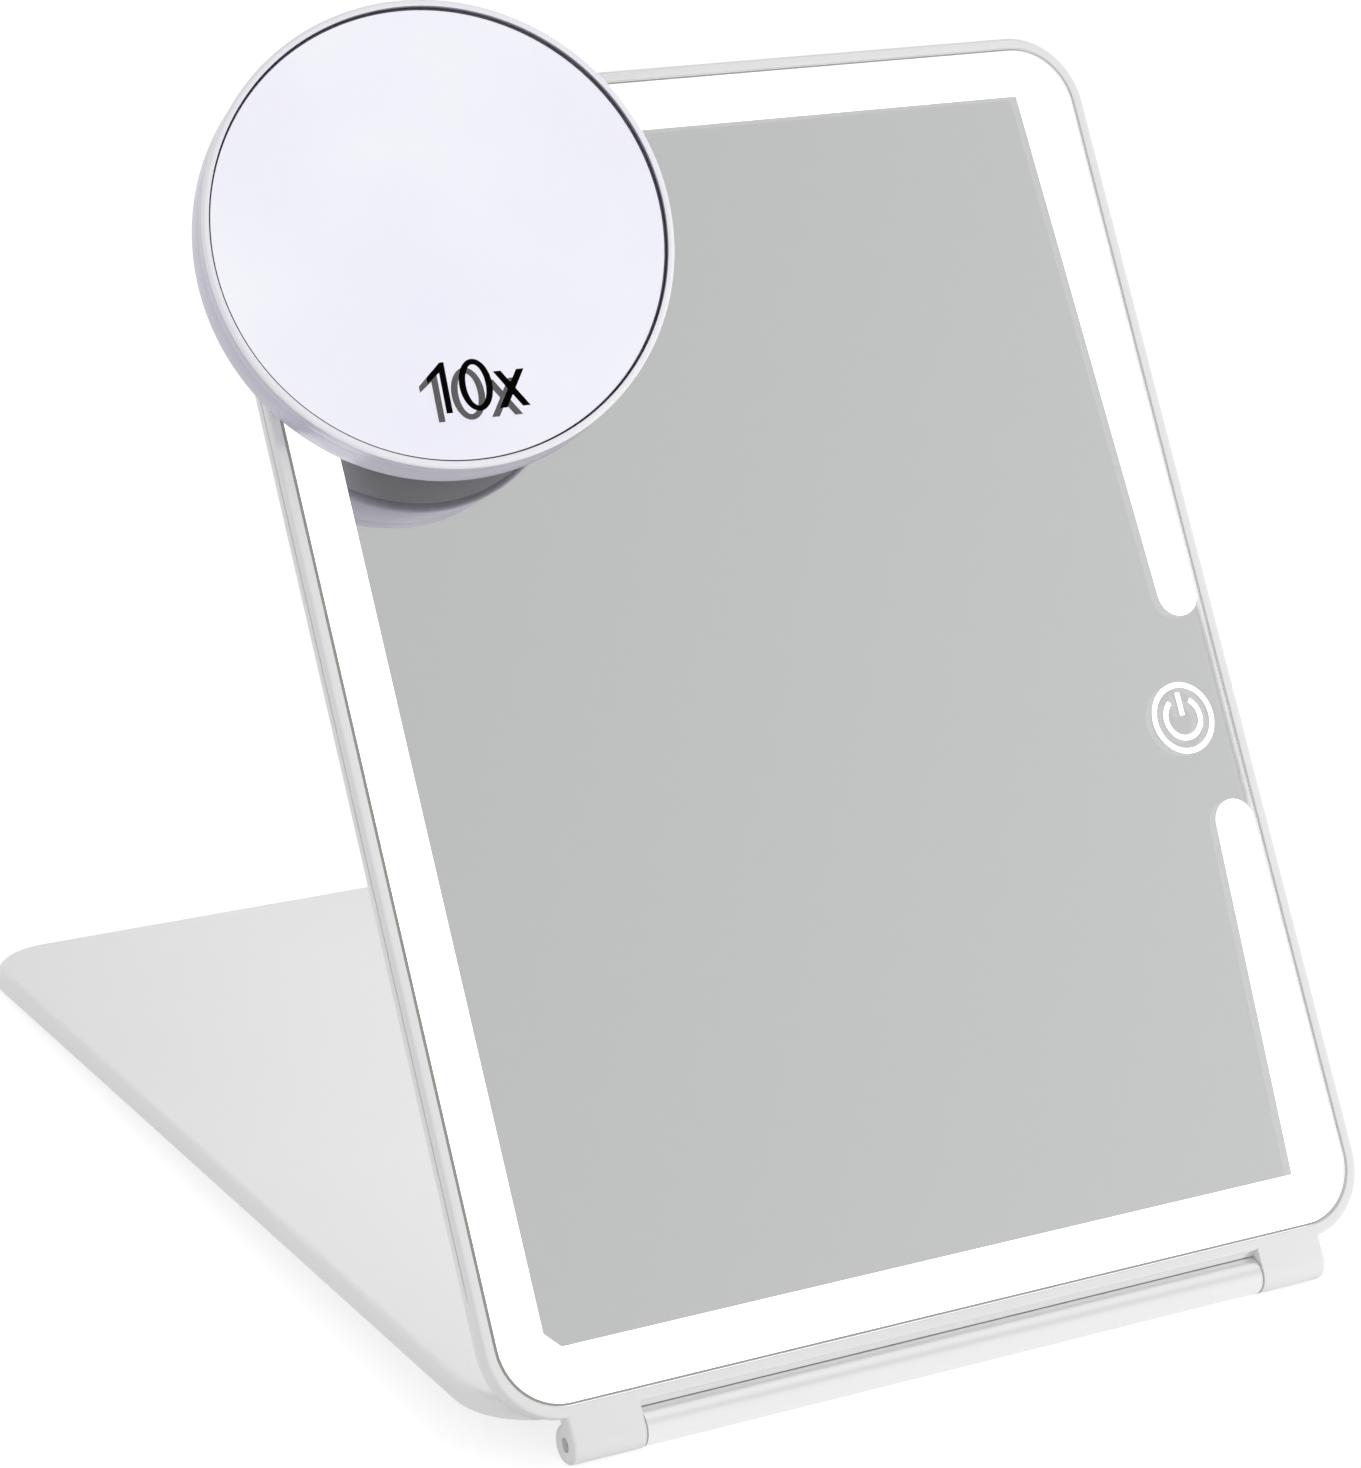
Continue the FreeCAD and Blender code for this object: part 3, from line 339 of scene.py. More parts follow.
def plate_edge(size, inset, stops=()):
    """Points round the panel, drawn in by inset, with points on both sides at the heights in stops."""
    half_width, corner = size.half_width - inset, size.corner - inset
    low, high = size.low + inset, size.high - inset
    points = arc((half_width - corner, low + corner), corner, -90, 0, CORNER_STEPS)
    points += [(half_width, height) for height in stops]
    points += arc((half_width - corner, high - corner), corner, 0, 90, CORNER_STEPS)
    points += arc((corner - half_width, high - corner), corner, 90, 180, CORNER_STEPS)
    points += [(-half_width, height) for height in reversed(stops)]
    points += arc((corner - half_width, low + corner), corner, 180, 270, CORNER_STEPS)
    return points


def skin(rows, closed=False):
    """A mesh over rows of points, row joined to row, with end faces unless the rows close on themselves."""
    shape = bmesh.new()
    rings = [[shape.verts.new(point) for point in row] for row in rows]
    pairs = list(zip(rings, rings[1:]))
    if closed:
        pairs.append((rings[-1], rings[0]))
    for first, second in pairs:
        for index in range(len(first)):
            beyond = (index + 1) % len(first)
            shape.faces.new((first[index], first[beyond], second[beyond], second[index]))
    if not closed:
        shape.faces.new(rings[0])
        shape.faces.new(rings[-1])
    return shape


def turned(section):
    """A mesh turned round the depth axis from a closed half section of (radius, depth) points."""
    turns = [2 * math.pi * step / TURN_STEPS for step in range(TURN_STEPS)]
    return skin([[(radius * math.cos(turn), radius * math.sin(turn), depth) for turn in turns]
                 for radius, depth in section], closed=True)


def new_object(name, shape, place=None):
    """An object with the mesh, welded, its faces turned outwards and its small angles smooth."""
    bmesh.ops.remove_doubles(shape, verts=shape.verts, dist=WELD)
    bmesh.ops.dissolve_degenerate(shape, edges=shape.edges, dist=WELD)
    bmesh.ops.recalc_face_normals(shape, faces=shape.faces)
    mesh = bpy.data.meshes.new(name)
    shape.to_mesh(mesh)
    shape.free()
    if place:
        mesh.transform(place)
    mesh.shade_smooth()
    mesh.set_sharp_from_angle(angle=SMOOTH_BELOW)
    item = bpy.data.objects.new(name, mesh)
    bpy.context.scene.collection.objects.link(item)
    return item


def evaluated(item):
    """The mesh of an object as its modifiers or its fill leave it."""
    done = bpy.data.meshes.new_from_object(item.evaluated_get(bpy.context.evaluated_depsgraph_get()))
    shape = bmesh.new()
    shape.from_mesh(done)
    bpy.data.meshes.remove(done)
    return shape


def mark(shape, index, test):
    """Gives the finish of this index to the faces whose points all pass the test."""
    for face in shape.faces:
        if all(test(point.co) for point in face.verts):
            face.material_index = index


def worked(base, tools):
    """The base mesh with other meshes joined to it or cut from it, tools being (operation, mesh) pairs."""
    blank = new_object("blank", base)
    helpers = [blank]
    for operation, shape in tools:
        helper = new_object("tool", shape)
        helpers.append(helper)
        step = blank.modifiers.new(operation.lower(), "BOOLEAN")
        step.operation = operation
        step.solver = "EXACT"
        step.object = helper
    shape = evaluated(blank)
    for helper in helpers:
        bpy.data.meshes.remove(helper.data)
    return shape


def piece(name, shape, place, body, kinds, slot, *nodes):
    """A piece of the mirror on its body, with its finishes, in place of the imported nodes."""
    item = new_object(name, shape, place)
    for kind in kinds:
        item.data.materials.append(finish(kind))
    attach(item, body)
    if nodes:
        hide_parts(*nodes)
    return item


def per_mm(millimetres):
    """The texture scale, in metres, whose features are this wide."""
    return 1 / (millimetres * MM)


def add_node(tree, kind, inputs=None, **options):
    """A shader node with its options, and its inputs set to values or linked to other nodes' outputs."""
    made = tree.nodes.new("ShaderNode" + kind)
    for option, value in options.items():
        setattr(made, option, value)
    for socket, value in (inputs or {}).items():
        if isinstance(value, bpy.types.NodeSocket):
            tree.links.new(value, made.inputs[socket])
        else:
            made.inputs[socket].default_value = value
    return made


# Sockets of a mix node that mixes colours
MIX = {"factor": 0, "first": 6, "second": 7, "result": 2}
WHITE = (1, 1, 1)


def rgba(colour):
    """A colour with full cover, for a node's socket."""
    return (*colour, 1)


def finish(kind):
    """The material of a shader's function or of a row of GRAINED, named for it and made once."""
    name = kind if kind in GRAINED else kind.__name__
    made = bpy.data.materials.get(name)
    if made is None:
        made = bpy.data.materials.new(name)
        made.use_nodes = True
        tree = made.node_tree
        tree.nodes.clear()
        shader = grain_shader(tree, *GRAINED[name]) if name in GRAINED else kind(tree, settings("colours"))
        add_node(tree, "OutputMaterial", {"Surface": shader.outputs[0]})
    return made


def object_place(tree):
    """The place on the piece, in metres."""
    return add_node(tree, "TexCoord").outputs["Object"]


def clouded(tree, width, tone, shade, detail=2.0):
    """Noise with features this many millimetres wide, and two colours mixed over it."""
    noise = add_node(tree, "TexNoise", {
        "Vector": object_place(tree), "Scale": per_mm(width), "Detail": detail})
    mixed = add_node(tree, "Mix", {
        MIX["factor"]: noise.outputs["Fac"], MIX["first"]: rgba(tone), MIX["second"]: rgba(shade)},
        data_type="RGBA")
    return noise.outputs["Fac"], mixed.outputs[MIX["result"]]


def uneven(tree, width, low, high, detail=2.0):
    """A value between low and high, over noise with features this many millimetres wide."""
    noise = add_node(tree, "TexNoise", {
        "Vector": object_place(tree), "Scale": per_mm(width), "Detail": detail})
    value = add_node(tree, "MapRange", {"Value": noise.outputs["Fac"], "To Min": low, "To Max": high})
    return value.outputs["Result"]


def spark_grained_abs(tree, colours):
    # Moulded ABS from a spark-eroded tool: an even dull skin whose fine pits soften every highlight
    colour = clouded(tree, 70, colours.shell, colours.shell_shade)[1]
    # The real grain is about 0.1 mm; it is drawn at 0.6 mm so that it shows at all
    grain = add_node(tree, "TexNoise", {"Vector": object_place(tree), "Scale": per_mm(0.6), "Detail": 3.0})
    dull = add_node(tree, "MapRange", {"Value": grain.outputs["Fac"], "To Min": 0.38, "To Max": 0.54})
    pits = add_node(tree, "Bump", {"Strength": 0.12, "Distance": 0.02 * MM, "Height": grain.outputs["Fac"]})
    return add_node(tree, "BsdfPrincipled", {
        "Base Color": colour, "Roughness": dull.outputs["Result"], "IOR": 1.53,
        "Normal": pits.outputs["Normal"]})


def polished_shader(tree, tone, shade):
    """ABS from a polished tool: clear soft highlights over slight flow clouds."""
    return add_node(tree, "BsdfPrincipled", {
        "Base Color": clouded(tree, 25, tone, shade)[1], "Roughness": uneven(tree, 3, 0.2, 0.3), "IOR": 1.53})


def polished_lavender_abs_painted_shade(tree, colours):
    # ABS moulded in a polished tool and tinted a cold lavender grey, drawn darker than its front ring and
    # back as painted shade: the magnifier's side
    return polished_shader(tree, colours.disc, colours.disc_shade)


def polished_pearl_abs(tree, colours):
    # The same moulding's pale colour, nearly white with a breath of lavender: the front ring and the back,
    # lighter than the side, whose darker tone is painted shade
    return polished_shader(tree, colours.ring, colours.ring_shade)


def float_glass(tree, colours):
    # Clear float glass with polished faces: sharp reflections over what lies behind it, with faint wipe marks
    return add_node(tree, "BsdfPrincipled", {
        "Base Color": rgba(colours.glass), "Roughness": uneven(tree, 18, 0.0, 0.006, 4.0), "IOR": 1.52,
        "Transmission Weight": 1.0})


def ground_glass_edge_painted_glow(tree, colours):
    # Float glass ground on a wheel: a dull grey seam round the bright sheet, with a painted glow where it is
    # seen from inside the glass
    edge = ink_shader(tree, colours.ground)
    side = add_node(tree, "NewGeometry")
    glow = add_node(tree, "MapRange", {"Value": side.outputs["Backfacing"], "To Max": 0.5})
    edge.inputs["Emission Color"].default_value = rgba(colours.frost)
    tree.links.new(glow.outputs["Result"], edge.inputs["Emission Strength"])
    return edge


def frosted_glass_side_painted_glow(tree, colours):
    # The sheet's sawn side, frosted, with a painted glow: a soft grey emission stands in for the lit band's
    # light coming out through the side
    frost = ink_shader(tree, colours.frost)
    frost.inputs["Emission Color"].default_value = rgba(colours.frost)
    frost.inputs["Emission Strength"].default_value = 0.45
    return frost


def silver_shader(tree, tone, shade):
    """Silver laid on glass: nearly all light comes back, with a trace of unevenness in the coat."""
    coat, colour = clouded(tree, 40, tone, shade, 3.0)
    haze = add_node(tree, "MapRange", {"Value": coat, "To Min": 0.0, "To Max": 0.02})
    return add_node(tree, "BsdfPrincipled", {
        "Base Color": colour, "Metallic": 1.0, "Roughness": haze.outputs["Result"]})


def silver_coat(tree, colours):
    # Silver deposited on the back of flat glass: a cool clear mirror
    return silver_shader(tree, colours.silver, colours.silver_shade)


def dished_silver_coat(tree, colours):
    # Silver deposited on the back of slumped glass: a mirror with a breath of lavender from the glass
    return silver_shader(tree, colours.dish, colours.dish_shade)


def lit_opal_acrylic(tree, colours):
    # Opal acrylic sheet lit from behind: an even band whiter than paper, a touch brighter in places
    return add_node(tree, "BsdfPrincipled", {
        "Base Color": rgba(colours.light), "Roughness": 0.4, "IOR": 1.49,
        "Emission Color": rgba(colours.light), "Emission Strength": uneven(tree, 16, 1.1, 1.2, 1.0)})


def anodised_aluminium(tree, colours):
    # Extruded aluminium, bead-blasted and anodised silver-white: a pale satin skin, more chalk than mirror
    where = object_place(tree)
    stretched = add_node(tree, "Mapping", {"Vector": where, "Scale": (0.03, 1.0, 1.0)})
    # Die lines are a few hundredths of a millimetre; they are drawn 0.4 mm wide to show
    lines = add_node(tree, "TexNoise", {
        "Vector": stretched.outputs["Vector"], "Scale": per_mm(0.4), "Detail": 2.0})
    beads = add_node(tree, "TexNoise", {"Vector": where, "Scale": per_mm(0.3), "Detail": 2.0})
    satin = add_node(tree, "MapRange", {"Value": lines.outputs["Fac"], "To Min": 0.44, "To Max": 0.56})
    blast = add_node(tree, "Bump", {"Strength": 0.08, "Distance": 0.02 * MM, "Height": beads.outputs["Fac"]})
    return add_node(tree, "BsdfPrincipled", {
        "Base Color": rgba(colours.barrel), "Metallic": 0.2, "Roughness": satin.outputs["Result"],
        "Normal": blast.outputs["Normal"]})


def ink_shader(tree, colour, shine=0.5):
    """A dull film or skin with a faint mottle in its gloss."""
    return add_node(tree, "BsdfPrincipled", {
        "Base Color": rgba(colour), "Roughness": uneven(tree, 0.5, 0.4, 0.6), "IOR": 1.5,
        "Specular IOR Level": shine})


def black_screen_ink(tree, colours):
    # Matt black ink screened on the face of the glass: dense, with next to no shine
    return ink_shader(tree, colours.print_dark, 0.02)


def painted_figure_reflection(tree, colours):
    # A painted reflection: grey copies beside the black figures stand in for their image in the silver, seen
    # through the glass
    return ink_shader(tree, colours.print_pale)


def edge_lacquer(tree, colours):
    # Sealing lacquer brushed on the mirror's cut edge: a dark, dull line
    return ink_shader(tree, colours.lacquer)


def moulded_silicone(tree, colours):
    # Clear silicone moulded in a polished tool: milky, soft and half see-through
    return add_node(tree, "BsdfPrincipled", {
        "Base Color": rgba(colours.cup), "Roughness": uneven(tree, 6, 0.25, 0.4), "IOR": 1.41,
        "Transmission Weight": 0.35})


def embossed_foam_sheet(tree, colours):
    # Foamed sheet with an embossed pebble skin: dull, with soft cells about a millimetre across, their
    # valleys drawn darker as painted shade
    cells = add_node(tree, "TexVoronoi", {"Vector": object_place(tree), "Scale": per_mm(1.4)})
    colour = add_node(tree, "Mix", {
        MIX["factor"]: cells.outputs["Distance"], MIX["first"]: rgba(colours.lining),
        MIX["second"]: rgba(colours.lining_shade)}, data_type="RGBA")
    pebble = add_node(tree, "Bump", {
        "Strength": 0.5, "Distance": 0.1 * MM, "Height": cells.outputs["Distance"]}, invert=True)
    return add_node(tree, "BsdfPrincipled", {
        "Base Color": colour.outputs[MIX["result"]], "Roughness": 0.75, "IOR": 1.45,
        "Normal": pebble.outputs["Normal"]})


def phosphor_gel(tree, colours):
    # Phosphor-filled silicone in a lamp package: pale yellow, lit from within
    return add_node(tree, "BsdfPrincipled", {
        "Base Color": rgba(linear("F6EBA6")), "Roughness": 0.3, "IOR": 1.41,
        "Emission Color": rgba(linear("FFFBEA")), "Emission Strength": uneven(tree, 0.5, 1.2, 1.6)})


def grain_shader(tree, colour, shade, grain, rough, metallic=0.0):
    """A small part's finish: two close colours over its grain, with the grain in its gloss and relief."""
    noise, mixed = clouded(tree, grain, linear(colour), linear(shade), 3.0)
    gloss = add_node(tree, "MapRange", {"Value": noise, "To Min": rough * 0.8, "To Max": rough * 1.2})
    relief = add_node(tree, "Bump", {"Strength": 0.1, "Distance": grain * MM / 10, "Height": noise})
    return add_node(tree, "BsdfPrincipled", {
        "Base Color": mixed, "Metallic": metallic, "Roughness": gloss.outputs["Result"],
        "Normal": relief.outputs["Normal"]})


# Finishes of the small parts: two colours, the grain's width in millimetres, roughness, metallic if a metal
GRAINED = {
    # Moulded grey rubber: dry and dull with a fine tooth
    "moulded_rubber": ("B4B5B7", "A8A9AC", 0.4, 0.75),
    # Nickel-plated steel, turned then barrel-plated: bright with a slight warm grey
    "nickel_plated_steel": ("C4C2BE", "B4B2AE", 0.8, 0.26, 1.0),
    # Acetal turned from rod: waxy white with a low sheen
    "turned_acetal": ("EFEFF0", "E6E6E8", 2.0, 0.34),
    # White nylon, stamped and tumbled: pale grey-white and dull
    "tumbled_nylon": ("DCDCDB", "D2D2D1", 1.0, 0.5),
    # White-filled polyester sheet, matt on both faces
    "polyester_sheet": ("D6D6D4", "CDCDCB", 3.0, 0.55),
    # White solder mask over a thin flexible circuit: clean and half dull
    "white_solder_mask": ("ECECE6", "E0E0D9", 1.5, 0.45),
    # Green solder mask over a glass-fibre board: green with darker clouds
    "green_solder_mask": ("1E6B45", "124A30", 2.5, 0.35),
    # Rolled brass foil: satin yellow metal
    "rolled_brass_foil": ("C8A45C", "B8934C", 0.6, 0.3, 1.0),
    # Aluminium pouch laminate: satin foil with slight wrinkles
    "laminated_pouch_foil": ("C2C4C8", "B2B4B9", 5.0, 0.38, 1.0),
    # Extruded vinyl sheath: red with a low sheen
    "vinyl_sheath": ("A8201C", "8E1814", 1.0, 0.45),
}
NODE_FINISHES = {
    spark_grained_abs: ("rear_shell", "cover_shell"),
    lit_opal_acrylic: ("light_diffuser",),
    anodised_aluminium: ("hinge_barrel",),
    embossed_foam_sheet: ("cover_lining",),
    phosphor_gel: ("led_chips",),
    "moulded_rubber": ("cover_pads",),
    "nickel_plated_steel": ("board_screws", "leaf_screws", "retainer_screws", "hinge_pins",
                            "charging_socket"),
    "turned_acetal": ("ball_stud", "ball_retainer"),
    "tumbled_nylon": ("hinge_washers", "friction_bushes"),
    "polyester_sheet": ("backing_plate",),
    "white_solder_mask": ("led_strips",),
    "green_solder_mask": ("control_board",),
    "rolled_brass_foil": ("touch_electrode",),
    "laminated_pouch_foil": ("battery_cell",),
    "vinyl_sheath": ("battery_lead",),
}


# The printed figures, in shares of their height: the 1 and the cross as outlines, the 0 as its middle and
# the half width and half height of its outer and inner edge
FIGURE_ONE = ((0.242, 0), (0.364, 0), (0.364, 1), (0.28, 1), (-0.012, 0.73), (-0.012, 0.61), (0.242, 0.8))
FIGURE_RING = ((0.896, 0.5), (0.317, 0.512), (0.189, 0.402))
FIGURE_CROSS = ((1.265, 0), (1.413, 0), (1.5625, 0.243), (1.712, 0), (1.86, 0), (1.6365, 0.363),
                (1.86, 0.726), (1.712, 0.726), (1.5625, 0.483), (1.413, 0.726), (1.265, 0.726),
                (1.4885, 0.363))
FIGURE_MIDDLE = (-0.963, -0.5, 0)
# Cuts a millimetre apart, to each side of the figures' middle, so that they follow the dished glass
FIGURE_CUTS = 10
# How strongly the suction cup's flank is bowed; 1 is straight
CUP_BOW = 1.25
# How the grey card darkens, along its width and its height
CARD_FALL = (0.6, -0.4, 0)


class MIRROR_OT_solids(bpy.types.Operator):
    """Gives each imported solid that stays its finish"""

    bl_idname = "mirror.solids"
    bl_label = "Finish the packed solids"

    def execute(self, context):
        for kind, names in NODE_FINISHES.items():
            for name in names:
                mesh = frame["nodes"][name].data
                mesh.materials.clear()
                mesh.materials.append(finish(kind))
        return {"FINISHED"}


class MIRROR_OT_frame(bpy.types.Operator):
    """Builds the front frame: the lip round the glass, its side grooves, the two hinge knuckles and the ramp
    behind the barrel"""

    bl_idname = "mirror.front_frame"
    bl_label = "Front frame"

    def lip(self, size):
        """The lip swept round the panel, with a groove along each side that fades out at its ends."""
        low = size.low + size.corner + size.groove_inset
        high = size.high - size.corner - size.groove_inset
        stops = (low, low + size.groove_fade, high - size.groove_fade, high)
        groove_top = size.glass_back + size.groove_height
        inner = size.lip - size.glass_gap
        section = soft_corners([
            (inner, size.glass_back, 0), (inner, size.front, size.lip_break), (0, size.front, size.lip_round),
            (0, groove_top, 0)])
        rows = []
        for inset, depth in section:
            edge = plate_edge(size, inset, stops)
            rows.append([(x, y, depth) for x, y in edge])
        edge = plate_edge(size, 0, stops)
        for depth in (groove_top, size.glass_back):
            row = []
            for x, y in edge:
                cut = size.groove_depth if y in stops[1:3] else 0
                row.append((x - math.copysign(cut, x), y, depth))
            rows.append(row)
        return skin(rows, closed=True)

    def knuckle(self, size, hinge, side):
        """A knuckle with a flat front in line with the lip, round below and at its outer end."""
        back = size.front - hinge.neck
        inside = size.low + size.lip / 2
        rows = []
        ends = [(hinge.start, 0)]
        ends += [(hinge.end - hinge.end_round + reach, hinge.end_round - rise)
                 for reach, rise in arc((0, 0), hinge.end_round, 90, 0)]
        for across, inset in ends:
            radius = hinge.radius - inset
            stop = 360 + math.degrees(math.asin(back / radius))
            section = [(inside, size.front - inset)] + arc((0, 0), radius, 90, stop, TURN_STEPS // 4)
            section += [(size.low, back), (size.low, size.glass_back), (inside, size.glass_back)]
            rows.append([(side * across, along, depth) for along, depth in section])
        return skin(rows)

    def skirt(self, size, hinge):
        """A ramp under the lip, between the knuckles, that closes most of the gap behind the barrel."""
        foot = size.low - hinge.skirt
        inside = size.low + size.lip / 2
        beside = size.low - size.glass_gap / 2
        root = (size.glass_back + hinge.skirt_top) / 2
        section = [(foot, hinge.skirt_back), (beside, hinge.skirt_back), (beside, root), (inside, root),
                   (inside, hinge.skirt_top), (size.low, hinge.skirt_top), (foot, hinge.skirt_foot)]
        reach = hinge.start + hinge.end_round
        return skin([[(across, along, depth) for along, depth in section] for across in (-reach, reach)])

    def bore(self, hinge, side):
        """The bore for the pin, flared at its mouth."""
        beyond = hinge.end + hinge.end_round
        reach = [(hinge.start - hinge.end_round, hinge.bore), (hinge.end - hinge.mouth, hinge.bore),
                 (hinge.end, hinge.bore + hinge.mouth), (beyond, hinge.bore + hinge.mouth)]
        return skin([[(side * across, *point) for point in arc((0, 0), radius, 0, 360, RING_STEPS)[:-1]]
                     for across, radius in reach])

    def execute(self, context):
        size = settings("panel")
        hinge = settings("hinge")
        tools = [("UNION", self.knuckle(size, hinge, side)) for side in (-1, 1)]
        tools.append(("UNION", self.skirt(size, hinge)))
        tools += [("DIFFERENCE", self.bore(hinge, side)) for side in (-1, 1)]
        piece("frame_moulding", worked(self.lip(size), tools), frame_at(HINGE), "panel", [spark_grained_abs],
              "moulded_abs", "front_frame")
        return {"FINISHED"}


class MIRROR_OT_glass(bpy.types.Operator):
    """Builds the mirror glass, with its edges ground, and the silvering with its lit windows"""

    bl_idname = "mirror.glass"
    bl_label = "Mirror glass and silvering"

    def mirror_edge(self, size, key):
        """Outline of the silvering, drawn in where the lit windows run along the glass's edges."""
        wide, bottom, top = size.half_width - size.lip, size.low + size.lip, size.high - size.lip
        left, right = size.window_left - wide, wide - size.window_right
        low, high = bottom + size.window_bottom, top - size.window_top
        round_end = key.window / 2
        middle = wide - round_end
        lower = bottom + key.height - key.window_below - round_end
        upper = bottom + key.height + key.window_above + round_end
        return [(left + size.silver_cut, low), (right, low),
                *arc((middle, lower), round_end, 180, 0, CORNER_STEPS),
                *arc((middle, upper), round_end, 0, -180, CORNER_STEPS),
                (right, high), (left, high), (left, low + size.silver_cut)]

    def symbol(self, size, key):
        """Outlines of the key's ring, arc and bar."""
        middle = Vector((size.half_width - size.lip - key.inset, size.low + size.lip + key.height))
        gap = math.degrees(key.gap)
        bar = key.line / 2
        loops = [arc((0, 0), radius, 0, 360, RING_STEPS)[:-1] for radius in (key.ring, key.ring - key.line)]
        loops.append(arc((0, 0), key.arc, 90 + gap, 450 - gap, RING_STEPS)
                     + arc((0, 0), key.arc - key.line, 450 - gap, 90 + gap, RING_STEPS))
        loops.append([(-bar, key.bar_foot), (bar, key.bar_foot), (bar, key.bar_top), (-bar, key.bar_top)])
        return [[middle + Vector(point) for point in loop] for loop in loops]

    def film(self, size, key):
        """The silvering, filled between its outlines, in millimetres because the fill is coarse near zero."""
        flat = bpy.data.curves.new("film", "CURVE")
        flat.dimensions = "2D"
        flat.fill_mode = "BOTH"
        flat.extrude = size.film / 2 / MM
        for outline in (self.mirror_edge(size, key), *self.symbol(size, key)):
            loop = flat.splines.new("POLY")
            loop.points.add(len(outline) - 1)
            for point, (x, y) in zip(loop.points, outline):
                point.co = (x / MM, y / MM, 0, 1)
            loop.use_cyclic_u = True
        holder = bpy.data.objects.new("film", flat)
        bpy.context.scene.collection.objects.link(holder)
        shape = evaluated(holder)
        bpy.data.objects.remove(holder)
        bpy.data.curves.remove(flat)
        shape.transform(Matrix.Translation((0, 0, size.glass_back - size.film / 2)) @ Matrix.Scale(MM, 4))
        return shape

    def execute(self, context):
        size = settings("panel")
        ground = size.ground_edge
        back = size.glass_back + size.coat_gap
        rows = []
        for inset, depth in ((ground, size.front), (0, size.front - ground), (0, back + ground / 2),
                             (ground / 2, back)):
            rows.append([(x, y, depth) for x, y in plate_edge(size, size.lip + inset)])
        sheet = skin(rows)
        for face in sheet.faces:
            if len(face.verts) == 4:
                on_face = any(point.co.z > size.front - WELD for point in face.verts)
                face.material_index = 1 if on_face else 2
        place = frame_at(HINGE)
        # The ground edge and the sawn side carry a painted glow
        piece("mirror_sheet", sheet, place, "panel", [float_glass, ground_glass_edge_painted_glow, frosted_glass_side_painted_glow],
              "clear_glass", "mirror_glass")
        piece("silver_film", self.film(size, settings("key")), place, "panel", [silver_coat], "silver_coat",
              "mirror_silvering")
        return {"FINISHED"}


